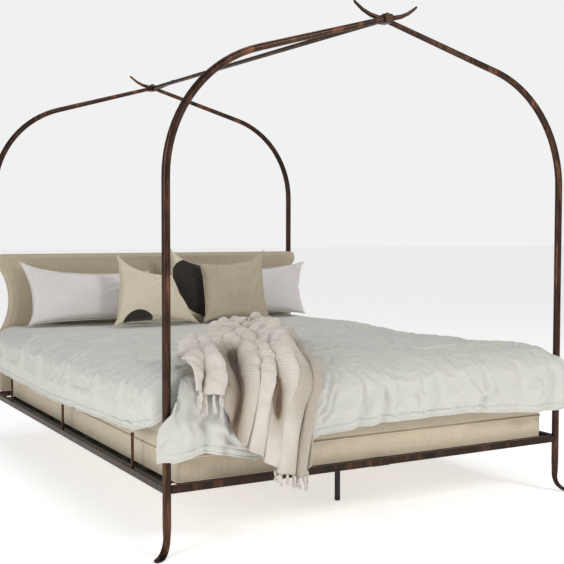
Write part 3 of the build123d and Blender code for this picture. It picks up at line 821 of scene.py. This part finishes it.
def skirt(name, columns, valleys, seed, spread=None):
    """Hanging part of the duvet; a column is x, y, the way it faces, its place along the hem,
    the hem's height and how far out it hangs."""
    grid, uv = [], []
    for x, y, turn, place, hem_z, reach in columns:
        start_z = float(top_height(x, y))
        run, outwards, down = shoulder_path(reach, SHOULDER_DROP)
        full = float(np.interp(start_z - hem_z, down, run))
        body = np.linspace(0, 1, SKIRT_ROWS) ** 0.9 * (full - HEM_ROWS[0])
        depth_run = np.concatenate([body[:-1], full - HEM_ROWS])
        fall = np.interp(depth_run, run, down)
        from_hem = full - depth_run
        plump = 0.007 * ease(depth_run, 0.05, 0.16) * ease(from_hem, 0.032, 0.085)
        proud = np.concatenate([np.zeros(SKIRT_ROWS - 1), HEM_PROUD])
        steep = ease(depth_run, 0.0, run[-2])
        swell = drape_folds(place, fall, valleys, seed) * steep + plump + proud
        tuck = 0.010 * ease(from_hem, 0.09, 0.0)
        out = np.interp(depth_run, run, outwards) + swell - tuck
        px, py = x + math.cos(turn) * out, y + math.sin(turn) * out
        if spread is not None:
            px, py = spread(px, py, start_z - fall)
        grid.append(np.column_stack([px, py, start_z - fall]))
        uv.append(np.column_stack([np.full(len(fall), place), -depth_run]))
    grid = np.array(grid)
    return make_object(name, grid, grid_faces(*grid.shape[:2]), np.array(uv))


def corner_turn(side, angle):
    """The way a corner column faces, from degrees round its corner."""
    return math.radians(-angle if side > 0 else 180 + angle)


def side_columns(side, ys):
    """Columns of a side drape, then round the corner behind the post."""
    columns = [(side * TOP_X, y, 0.0 if side > 0 else math.pi, y, float(hem_side(y)), SIDE_OUT) for y in ys]
    for step in range(1, SIDE_TURNS + 1):
        angle = SPLIT_ANGLE * step / SIDE_TURNS
        place = TOP_Y - HEM_PER_DEGREE * angle
        hem_z = 0.402 + 0.068 * ease(angle, 0, 50)
        push = 0.030 * math.sin(math.radians(min(90, angle * 1.9)))
        out = SIDE_OUT - 0.008 * ease(angle, 0, 20) - push
        columns.append((side * TOP_X, TOP_Y, corner_turn(side, angle), place, hem_z, out))
    return columns


def flap_corner(side, hem_z):
    """Columns of the foot flap's free corner, in front of a post, outermost first."""
    columns = []
    for step in range(FLAP_TURNS):
        angle = SPLIT_ANGLE + (90 - SPLIT_ANGLE) * step / FLAP_TURNS
        place = TOP_X + HEM_PER_DEGREE * (90 - angle)
        out = FOOT_OUT - 0.020 * (1 - step / FLAP_TURNS)
        columns.append((side * TOP_X, TOP_Y, corner_turn(side, angle), side * place, hem_z, out))
    return columns


# the flap's two edges on their way down: heights, and x at each
FLAP_LEFT = ([0.29, 0.345, 0.41, 0.455, 0.50, 0.6], [-0.866, -0.862, -0.846, -0.800, -0.782, -0.775])
FLAP_RIGHT = ([0.29, 0.47, 0.505, 0.535, 0.56, 0.6], [0.856, 0.850, 0.835, 0.800, 0.785, 0.775])
FLAP_EDGE = 0.779              # the flap's edge before it widens
FLAP_CALM = 0.35               # nearer to the middle than this, it doesn't widen
PAST_POST = 0.76               # from here outwards, the flap is in front of the post


def spread_flap(px, py, z):
    """The flap widens on its way down and passes in front of both posts."""
    left, right = [np.interp(z, *table) for table in (FLAP_LEFT, FLAP_RIGHT)]
    near = [np.clip((x - FLAP_CALM) / (FLAP_EDGE - FLAP_CALM), 0, 1.0) ** 1.6 for x in (-px, px)]
    px = px + (left + FLAP_EDGE) * near[0] + (right - FLAP_EDGE) * near[1]
    front = np.where(np.abs(px) > 0.785, duvet_low[1] + 0.012, py)
    forward = ease(np.abs(px), PAST_POST, 0.79)
    return px, np.where(np.abs(px) > PAST_POST, py + forward * (np.minimum(py, front) - py), py)


def make_duvet():
    back = duvet_high[1]
    ys = np.linspace(TOP_Y, back, int((back - TOP_Y) / TOP_STEP) + 1)
    xs = np.linspace(-TOP_X, TOP_X, int(2 * TOP_X / TOP_STEP) + 1)
    x, y = np.meshgrid(xs, ys)
    top = np.stack([x, y, top_height(x, y)], -1)
    parts = [make_object("duvet_top", top, grid_faces(len(ys), len(xs)), top[..., :2])]
    for side in (-1, 1):
        parts.append(skirt("duvet_side", side_columns(side, ys[::-1]), SIDE_VALLEYS, 60 + side))
    middle = [(x, TOP_Y, -math.pi / 2, x, float(hem_foot(x * FLAP_WIDER)), FOOT_OUT) for x in xs]
    foot = flap_corner(-1, 0.300) + middle + flap_corner(1, 0.325)[::-1]
    parts.append(skirt("duvet_foot", foot, FOOT_VALLEYS, 71, spread_flap))
    duvet = join("duvet_cover", parts)
    weld(duvet, 0.0004)
    return duvet


# creases of the foot flap, across the bed and up: pasted from a scratch script's output, which set
# creases marked on the photo onto the flap's plane, so these numbers weren't chosen by hand
FLAP_CREASES = [
    [(-0.125, 0.545), (-0.104, 0.457), (-0.114, 0.389)], [(-0.036, 0.487), (-0.011, 0.427)],
    [(-0.231, 0.529), (-0.280, 0.404)], [(-0.218, 0.489), (-0.267, 0.381)],
    [(-0.073, 0.478), (-0.100, 0.388)], [(0.349, 0.483), (0.412, 0.404)],
    [(0.467, 0.437), (0.405, 0.380)], [(0.663, 0.461), (0.698, 0.420), (0.665, 0.371)],
    [(0.103, 0.447), (0.129, 0.397)], [(-0.261, 0.576), (-0.287, 0.533)], [(0.039, 0.429), (0.011, 0.378)],
    [(-0.741, 0.417), (-0.741, 0.328)], [(-0.702, 0.414), (-0.686, 0.316)],
    [(-0.663, 0.380), (-0.584, 0.336)], [(-0.810, 0.388), (-0.835, 0.338)],
    [(-0.772, 0.485), (-0.791, 0.410)],
]


def pinch_flap(points):
    """How far out each point of the flap goes: a sharp groove along each crease, a soft rise beside it."""
    rise = np.zeros(len(points))
    for k, line in enumerate(FLAP_CREASES):
        for (x0, z0), (x1, z1) in zip(line, line[1:]):
            wide, tall = x1 - x0, z1 - z0
            span = np.hypot(wide, tall)
            along = ((points[:, 0] - x0) * wide + (points[:, 2] - z0) * tall) / span
            across = ((points[:, 0] - x0) * tall - (points[:, 2] - z0) * wide) / span
            across = across + 0.004 * np.sin(along * 60 + k)
            body = ease(along, -0.012, 0.018) * (1 - ease(along, span - 0.018, span + 0.012))
            rise -= 0.0075 * body * np.exp(-(across / 0.0070) ** 2)
            rise += 0.0045 * body * np.exp(-((np.abs(across) - 0.016) / 0.009) ** 2)
    return rise


duvet = make_duvet()
face_up(duvet)
# held more firmly under the pillows, along the low hem and fully at the flap's free corners
x, y, z = vertices_of(duvet).T
held = 0.20 + 0.5 * ease(y, 0.45, 0.62) * (z > 0.5)
held = np.maximum(held, (np.abs(x) > 0.75) & (y < -1.0))
held = np.maximum(held, 0.7 * (z < 0.37))
inflate(duvet, pressure=0.0, grow=0.035, limit=0.012, tension=10.0, bending=0.06, pins=held)
subdivide(duvet, kind="SIMPLE")
points = vertices_of(duvet)
x, y, z = points.T
y -= (1 - ease(y, -1.075, -1.055)) * pinch_flap(points)
fine = 0.0011 * ripple(x * 30, y * 30 + z * 22, 52) - 0.0007 * crease(x * 7 + y * 4, y * 6 - x * 3, 53, 11.0)
z += fine * ease(z, 0.50, 0.53)
set_vertices(duvet, points)
duvet = thicken(duvet, CLOTH_THICK)
piece(duvet, cotton, "white_cotton", "duvet")


# ------------------------------------------------------------------ pillows and cushions
LEAN = math.radians(18.0)
PAD_FRONT = np.array([0.0, -math.cos(LEAN), math.sin(LEAN)])      # the way a leaning pad faces
REST = float(top_height(0.0, 0.60)) - 0.006                       # the pads press a little into the duvet
SINK = 0.012                                                      # height of a pad's flattened foot
EARS = 0.012                                                      # how far the corners are drawn out


def pad_mesh(name, width, height, depth, pull, seed, spacing=0.012):
    """Two panels sewn round their edge, sides pulled in between pointed corners."""
    columns = int(width / spacing)
    rows = int(height / spacing)
    u, v = np.meshgrid(np.linspace(-1, 1, columns + 1), np.linspace(-1, 1, rows + 1))
    corner = (np.abs(u) * np.abs(v)) ** 5
    x = width / 2 * u * (1 - pull * (1 - v ** 2)) * (1 + EARS * corner)
    z = height / 2 * v * (1 - pull * 1.3 * (1 - u ** 2)) * (1 + EARS * corner * width / height * 0.6)
    body = np.clip((1 - u ** 2) * (1 - v ** 2), 0, 1)
    dent = 1 + 0.16 * ripple(u * 1.7 + seed, v * 1.5, seed)
    y = depth / 2 * body ** 0.42 * dent
    inside = (slice(1, rows), slice(1, columns))
    front = np.stack([x, -y, z], -1)
    rear = np.stack([x, y * 0.92, z], -1)
    count = (rows + 1) * (columns + 1)
    index = np.arange(count).reshape(rows + 1, columns + 1)
    back_index = index.copy()
    back_index[inside] = count + np.arange((rows - 1) * (columns - 1)).reshape(rows - 1, columns - 1)
    points = np.concatenate([front.reshape(-1, 3), rear[inside].reshape(-1, 3)])
    flat = np.stack([width / 2 * u, height / 2 * v], -1)
    uv = np.concatenate([flat.reshape(-1, 2), flat[inside].reshape(-1, 2) + np.array([5.0, 0.0])])
    faces = []
    for r in range(rows):
        for c in range(columns):
            spots = ((r, c), (r, c + 1), (r + 1, c + 1), (r + 1, c))
            faces.append(tuple(int(index[spot]) for spot in spots))
            faces.append(tuple(int(back_index[spots[k]]) for k in (0, 3, 2, 1)))
    rim = np.concatenate([index[0, :-1], index[:-1, -1], index[-1, :0:-1], index[:0:-1, 0]])
    return make_object(name, points, faces, uv), rim


# bottom left, bottom right, top left and top right corners: across the bed, and up the leaning pad
PADS = {
    "pillow_left": dict(
        flat=(0.690, 0.300), depth=0.105, pull=0.030, grow=0.05, creases=0.0075, row=0,
        corners=((-0.700, 0.0), (-0.080, 0.0), (-0.697, 0.270), (-0.090, 0.256)), ear=(-1, -0.015, 0.042)),
    "pillow_right": dict(
        flat=(0.690, 0.296), depth=0.105, pull=0.026, grow=0.05, creases=0.0070, row=0,
        corners=((0.110, 0.0), (0.776, 0.0), (0.130, 0.264), (0.792, 0.276)), ear=(1, 0.024, 0.016)),
    "cushion_back": dict(
        flat=(0.400, 0.385), depth=0.085, pull=0.030, grow=0.02, creases=0.0030, row=1,
        corners=((-0.040, 0.0), (0.360, 0.0), (-0.012, 0.340), (0.350, 0.262)), ear=(-1, 0.020, 0.048)),
    "cushion_left": dict(
        flat=(0.415, 0.335), depth=0.095, pull=0.030, grow=0.02, creases=0.0035, row=2,
        corners=((-0.372, 0.0), (0.066, 0.0), (-0.302, 0.302), (-0.046, 0.246)), ear=(-1, -0.012, 0.056)),
    "cushion_right": dict(
        flat=(0.372, 0.345), depth=0.090, pull=0.026, grow=0.02, creases=0.0035, row=2,
        corners=((0.092, 0.0), (0.464, 0.0), (0.108, 0.306), (0.460, 0.320)), ear=(1, 0.026, 0.052)),
}
# the dark shapes are placed in metres from the middle of the cloth
ANGULAR_PRINT = [(-0.22, 0.085), (-0.144, -0.104), (-0.03, -0.19), (0.10, -0.19), (0.20, 0.0), (0.20, 0.25),
                 (-0.02, 0.25)]
PRINTS = {"cushion_left": printed(half_circle(-0.096, -0.162, 0.073)),
          "cushion_back": printed(outline_mask(ANGULAR_PRINT))}
PAD_FINISH = {"pillow_left": pillow_cotton, "pillow_right": pillow_cotton, "cushion_right": taupe}
for node, shade in PRINTS.items():
    PAD_FINISH[node] = woven_finish(node + "_cover_linen", rgb(222, 213, 191), rgb(190, 179, 154), 0.0014,
                                    shade=shade)
ROW_BACK = (0.8952, 0.7818, 0.6789)     # where the back of each row of pads stands


def corner_creases(pad, width, height, amount, seed):
    """Creases that fan out of each corner of a stuffed pad and die out towards its middle."""
    points = vertices_of(pad)
    total = np.zeros(len(points))
    for k, (sx, sz) in enumerate(((-1, -1), (1, -1), (1, 1), (-1, 1))):
        dx = sx * width / 2 - points[:, 0]
        dz = sz * height / 2 - points[:, 2]
        away = np.hypot(dx, dz)
        angle = np.arctan2(np.abs(dz), np.abs(dx))
        lines = np.cos(angle * (15 + 3 * k) + 2.4 * ripple(away * 7, angle * 2, 130 + seed * 5 + k) + k)
        reach = (0.75 if sz > 0 else 0.4) * height
        strength = (1.0 if sz > 0 else 0.5) * ease(away, 0.010, 0.06) * np.exp(-(away / reach) ** 2)
        total += strength * (0.35 * lines - 0.9 * np.exp(-(lines / 0.42) ** 2))
    total += 0.5 * ripple(points[:, 0] * 9 + seed, points[:, 2] * 8, 140 + seed)
    edge = np.minimum(width / 2 - np.abs(points[:, 0]), height / 2 - np.abs(points[:, 2]))
    set_vertices(pad, points + normals_of(pad) * (amount * total * ease(edge, 0.0, 0.03))[:, None])


def shape_corners(points, flat, corners, ear):
    """Carry a rectangular pad to its four corner places, and draw out one ear."""
    u = points[:, 0] / flat[0] + 0.5
    v = points[:, 2] / flat[1] + 0.5
    low_left, low_right, top_left, top_right = np.array(corners)[:, :, None]
    plane = (low_left * (1 - u) + low_right * u) * (1 - v) + (top_left * (1 - u) + top_right * u) * v
    side, out, up = ear
    near = (u if side > 0 else 1 - u).clip(0, 1.1) ** 4.5 * v.clip(0, 1.1) ** 3
    return np.column_stack([plane[0] + out * near, points[:, 1], plane[1] + up * near])


def settle(local, pad_row):
    """Shape the pad, lean it back, flatten it where it rests and sink its foot a little."""
    up = np.array([0.0, math.sin(LEAN), math.cos(LEAN)])
    shaped = shape_corners(local, pad_row["flat"], pad_row["corners"], pad_row["ear"])
    placed = shaped @ np.array([[1.0, 0, 0], -PAD_FRONT, up])
    placed = placed + np.array([0, ROW_BACK[pad_row["row"]], REST]) + PAD_FRONT * pad_row["depth"] / 2
    under = placed[:, 2] < REST + SINK
    soft = REST + SINK * np.exp((placed[:, 2] - REST - SINK) / SINK)
    placed[:, 2] = np.where(under, np.maximum(soft, REST), placed[:, 2])
    return placed


for seed, (node, pad_row) in enumerate(PADS.items()):
    width, height = pad_row["flat"]
    depth = pad_row["depth"]
    pad, rim = pad_mesh(node + "_cover", width, height, depth, pad_row["pull"], 80 + seed)
    inflate(pad, pressure=2.0, grow=pad_row["grow"], limit=0.014, tension=14.0, bending=0.12)
    found = vertices_of(pad)
    found[:, 1] *= min(1.0, depth * 1.05 / np.ptp(found[:, 1]))
    set_vertices(pad, found)
    seam = vertices_of(pad)[rim]
    subdivide(pad)
    corner_creases(pad, width, height, pad_row["creases"], seed)
    set_vertices(pad, settle(vertices_of(pad), pad_row))
    piece(pad, PAD_FINISH[node], SLOT_OF[node], node)
    edge = tube(node + "_seam", settle(seam, pad_row), 0.0016, PAD_FRONT, sides=6, closed=True)
    piece(edge, PAD_FINISH[node], SLOT_OF[node])
    # one spot of the cloth for the whole seam, clear of any print
    edge.data.uv_layers.active.data.foreach_set("uv", [3.0] * (2 * len(edge.data.loops)))


# ------------------------------------------------------------------ throw
THROW_FLAT = (1.27, 1.52)
THROW_STEP = (190, 200)
THROW_HEAD, THROW_MIDDLE = -0.27, -0.3       # where its head end lies along the bed, and its middle across
THROW_OUT, THROW_UP = 0.024, 0.012           # how far its under surface stays from the duvet's
PLEATS = 7.5
TASSEL_STEP = 0.027
TASSEL_LONG, TASSEL_SHORT = 0.058, 0.032     # at the hem's left end, and elsewhere
NO_TASSELS = (0.27, 0.66)                    # from here to here along the hem, none are made
BED_FOOT = duvet_low[1]
FRONT_NEAR = BED_FOOT - 0.040       # the hanging folds are pressed flatter beyond here
FRONT_DEPTH = 0.036
# how far each part of the hem hangs below the duvet's rolled edge
HEM_AT = [0.0, 0.153, 0.25, 0.295, 0.40, 0.65, 0.893, 1.0]
HEM_DROP = [-0.030, -0.025, 0.003, 0.051, 0.143, 0.228, 0.272, 0.241]
# where the throw's two sides lie across the bed, from its head end to its hem
ACROSS_AT = [0.0, 0.15, 0.26, 0.50, 0.65, 0.72, 0.85, 1.0]
LEFT_EDGE = [-0.270, -0.310, -0.365, -0.480, -0.590, -0.640, -0.715, -0.762]
RIGHT_EDGE = [-0.030, -0.020, -0.050, -0.140, -0.220, -0.260, -0.318, -0.336]


def billow(x, y, seed):
    """Rounded rolls with sharp valleys between them, 0 to about 1."""
    return np.clip(np.abs(ripple(x, y, seed)) * 2.2, 0, 1.2) ** 0.75


def blurred(field, reach):
    """Mean of a grid over a square of 2 * reach + 1 steps."""
    window = 2 * reach + 1
    for _ in range(2):
        total = np.cumsum(np.pad(field, [(reach + 1, reach), (0, 0)], mode="edge"), axis=0)
        field = ((total[window:] - total[:-window]) / window).T
    return field


def throw_path(t, s):
    """Where the throw's under surface runs: along the bed, over the rolled foot edge and down."""
    heap_end = THROW_HEAD + 0.05 * ripple(s * 4, 0.7, 89)
    run_at, out_at, down_at = shoulder_path(FOOT_OUT + THROW_OUT, SHOULDER_DROP)
    rolled = run_at[-2]
    flat = heap_end - TOP_Y
    drop = np.interp(s, HEM_AT, HEM_DROP) + 0.012 * ripple(s * 9, 0.3, 90)
    run = (flat + rolled + drop) * np.interp(t, [0.0, 0.10, 0.26, 0.70, 1.0], [0.0, 0.05, 0.17, 0.62, 1.0])
    past = np.clip(run - flat, 0, None)
    y = np.where(run < flat, heap_end - run, TOP_Y - np.interp(past, run_at, out_at))
    level = top_height(np.full_like(y, THROW_MIDDLE), np.maximum(y, TOP_Y)) + THROW_UP
    return y, level - np.interp(past, run_at, down_at), ease(past, 0.0, rolled)


def make_throw():
    """The draped throw, its points as a grid, and the painted shade each point takes: in the hollows of its
    folds, in three dark places and over its calm right strip.
    """
    s, t = np.meshgrid(np.linspace(0, 1, THROW_STEP[0]), np.linspace(0, 1, THROW_STEP[1]))
    y, z, over = throw_path(t, s)
    left = np.interp(t, ACROSS_AT, LEFT_EDGE)
    right = np.interp(t, ACROSS_AT, RIGHT_EDGE)
    share = s + 0.03 * ripple(s * 4, t * 3, 91)
    x = left + (right - left) * share
    heap = np.exp(-((t - 0.14) / 0.17) ** 2)
    # pleats that wander down the cloth, calmer in the strip along its right edge
    warp = 0.75 * ripple(s * 2.4, t * 3.4, 92) + 0.28 * ripple(s * 6, t * 7, 93)
    phase = 2 * np.pi * (PLEATS * s + warp + 0.35 * (1 - over) * np.sin(6.0 * t + 3 * s))
    calm = ease(s, 0.74, 0.84) * ease(t, 0.30, 0.5)
    deep = np.clip(0.033 + 0.030 * ripple(s * 3.1, t * 3.0, 94), 0.016, 0.050) * (1 - 0.55 * calm)
    wave = (1 + np.cos(phase)) / 2
    bend = 0.05 * ripple(x * 6, y * 6, 87)
    rolls = billow((0.83 * x + 0.56 * y + bend) * 8, (0.83 * y - 0.56 * x + bend) * 21, 95)
    small = billow((0.70 * x - 0.71 * y) * 12 + bend * 20, (0.70 * y + 0.71 * x) * 34, 96)
    rise = 2 * deep * wave ** 0.7 * (1 - 0.35 * heap) + heap * (0.052 * rolls + 0.030 * small)
    rise = rise + (1 - heap) * (0.016 * small + 0.014 * rolls) * (1 - 0.7 * calm) + 0.010 * calm
    # three dark places put in one by one: a long valley, a small diamond near the hem and a hollow
    slot_line = 0.345 + 0.03 * ripple(t * 5, 0.2, 99)
    valley = np.exp(-((s - slot_line) / 0.060) ** 2) * ease(t, 0.52, 0.66)
    diamond = np.exp(-((s - 0.63) / 0.035) ** 2 - ((t - 0.86) / 0.05) ** 2)
    hollow = np.exp(-((s - 0.46) / 0.05) ** 2 - ((t - 0.62) / 0.04) ** 2)
    # the three dark places are painted shade in the knit's colour, and also flatten the folds there
    dark = np.clip(valley + diamond + hollow, 0, 1)
    rise = rise * (1 - 0.85 * dark)
    # painted shade in the hollows: darker where the cloth lies below its blurred surroundings, and between
    # the heap's rolls
    shadow = np.clip((blurred(rise, 13) - rise) / 0.007, 0, 1) * (0.6 + 0.4 * heap)
    shadow += heap * (0.9 * np.clip((0.5 - rolls) / 0.4, 0, 1) + 0.6 * np.clip((0.4 - small) / 0.35, 0, 1))
    # painted shade: the calm strip along the right edge takes an even darker tint
    depth = np.clip(0.85 * shadow * (1 - 0.5 * calm) + 1.0 * dark + 0.42 * calm, 0, 1)
    x = x + deep * 0.70 * np.sin(phase) * (1 - 0.3 * over) * (1 - 0.9 * dark)
    y = y + heap * 0.020 * np.sin(2 * np.pi * (t * 9 + 1.2 * s)) + 0.004 * ripple(s * 14, t * 16, 97)
    # the folds stand up on the bed and outwards where the throw hangs
    tilt = over * math.pi / 2
    rise = rise * (1 - 0.15 * over) + 0.002 * ripple(s * 22, t * 26, 98)
    y = y - np.sin(tilt) * rise
    far = np.clip(FRONT_NEAR - y, 0, None)
    y = np.where(y < FRONT_NEAR, FRONT_NEAR - FRONT_DEPTH * np.tanh(far / (1.5 * FRONT_DEPTH)), y)
    points = np.stack([x, y, z + np.cos(tilt) * rise], -1)
    uv = np.stack([s * THROW_FLAT[0], t * THROW_FLAT[1]], -1)
    faces = [tuple(reversed(face)) for face in grid_faces(*x.shape)]
    return make_object("throw_cover", points, faces, uv), points, depth.ravel()


throw, throw_points, throw_painted_shade = make_throw()
face_up(throw)
throw = thicken(throw, CLOTH_THICK)
# the painted shade is stored on the mesh for the knit's colour
shade = throw.data.attributes.new("throw_painted_shade", "FLOAT", "POINT")
shade.data.foreach_set("value", np.concatenate([throw_painted_shade, throw_painted_shade]).tolist())
piece(throw, knit, "cream_knit", "throw_blanket")


def tassels():
    """Tassels of five strands along both cut ends of the throw."""
    made = []
    rng = np.random.default_rng(12)
    for row in (-1, 0):
        end = throw_points[row]
        run = run_along(end)
        share = np.linspace(0, 1, len(end))
        hanging = row == -1
        down = np.array([0.0, -0.12, -1.0]) if hanging else np.array([0.0, 0.75, -0.2])
        for place in np.arange(0.012, run[-1], TASSEL_STEP):
            root = np.array([np.interp(place, run, end[:, k]) for k in range(3)])
            s = np.interp(place, run, share)
            if hanging and NO_TASSELS[0] < s < NO_TASSELS[1]:
                continue
            long = (TASSEL_LONG if hanging and s < 0.3 else TASSEL_SHORT) + 0.010 * rng.random()
            for _ in range(5):
                side = rng.normal(0, 0.07, 3)
                side[2] *= 0.2
                steps = np.linspace(0, 1, 6)[:, None]
                curl = rng.normal(0, 0.003, 3)
                line = root + down * long * steps + side * long * steps ** 1.4 + curl * np.sin(steps * 5)
                if hanging:
                    line[:, 1] = np.minimum(line[:, 1], BED_FOOT - 0.006)
                else:
                    line[:, 2] = np.maximum(line[:, 2], REST + 0.008)
                size = 0.0026 * np.array([1.3, 1.6, 1.2, 1.1, 1.0, 0.6])
                made.append(tube("strand", line, size, (1, 0.2, 0), sides=5))
    return join("throw_fringe", made)


fringe = tassels()
piece(fringe, knit, "cream_knit")


# ------------------------------------------------------------------ floor, light and camera
FLOOR_HALF = 40
floor_corners = [(x * FLOOR_HALF, y * FLOOR_HALF, 0) for x, y in ((-1, -1), (1, -1), (1, 1), (-1, 1))]
floor = make_object("floor", floor_corners, [(0, 1, 2, 3)])
# a lit white floor, as on a studio light table
FLOOR_COLOUR = rgb(250, 250, 249)
FLOOR_SHADE = tuple(part * 0.97 for part in FLOOR_COLOUR[:3]) + (1.0,)
floor_finish = Finish("pale_floor", roughness=0.8)
cloudy = floor_finish.ramp(floor_finish.noise(floor_finish.place(), 1.5, 2), 0.3, 0.7, 0.0, 0.5)
floor_finish.colour(floor_finish.blend(cloudy, FLOOR_COLOUR, FLOOR_SHADE))
floor_finish.shader.inputs["Emission Color"].default_value = (1.0, 1.0, 1.0, 1.0)
floor_finish.shader.inputs["Emission Strength"].default_value = 0.52
floor.data.materials.append(floor_finish.material)


def area_light(name, place, aim, size, power, colour):
    data = bpy.data.lights.new(name, "AREA")
    data.shape = "RECTANGLE"
    data.size, data.size_y = size
    data.energy = power
    data.color = colour
    lamp = bpy.data.objects.new(name, data)
    bpy.context.scene.collection.objects.link(lamp)
    lamp.location = place
    lamp.rotation_mode = "QUATERNION"
    lamp.rotation_quaternion = (Vector(aim) - Vector(place)).to_track_quat("-Z", "Y")


area_light("key", (1.7, -4.9, 3.4), (0, -0.6, 0.4), (1.3, 1.3), 94, (1.0, 0.985, 0.965))
area_light("left", (-4.6, -2.6, 2.1), (-0.2, 0, 0.6), (1.6, 1.8), 74, (0.98, 0.99, 1.0))
area_light("overhead", (0, 0.6, 4.6), (0, 0.2, 0.5), (2.4, 2.4), 40, (1, 1, 1))

# even soft room light, with a whiter backdrop than the light it gives
world = bpy.data.worlds.new("studio")
world.use_nodes = True
sky = world.node_tree.nodes["Background"]
sky.inputs["Color"].default_value = (1.0, 1.0, 1.0, 1.0)
seen = world.node_tree.nodes.new("ShaderNodeLightPath")
level = world.node_tree.nodes.new("ShaderNodeMapRange")
level.inputs["To Min"].default_value = 0.33
level.inputs["To Max"].default_value = 0.88
world.node_tree.links.new(seen.outputs["Is Camera Ray"], level.inputs["Value"])
world.node_tree.links.new(level.outputs[0], sky.inputs["Strength"])
bpy.context.scene.world = world
bpy.context.scene.view_settings.view_transform = "Standard"

YAW, PITCH, ROLL = 0.5389, 0.0472, -0.0037
ahead = Vector((math.sin(YAW) * math.cos(PITCH), math.cos(YAW) * math.cos(PITCH), -math.sin(PITCH)))
right = Vector((math.cos(YAW), -math.sin(YAW), 0))
down = ahead.cross(right)
right_rolled = right * math.cos(ROLL) + down * math.sin(ROLL)
down_rolled = down * math.cos(ROLL) - right * math.sin(ROLL)
camera_data = bpy.data.cameras.new("camera")
camera_data.sensor_width = 36
camera_data.lens = 67.13
camera_data.shift_x = -0.0741
camera_data.shift_y = -0.0105
camera = bpy.data.objects.new("camera", camera_data)
bpy.context.scene.collection.objects.link(camera)
camera.matrix_world = Matrix.Translation((-2.0459, -4.0878, 1.0242)) @ Matrix(
    (right_rolled, -down_rolled, -ahead)).transposed().to_4x4()
bpy.context.scene.camera = camera
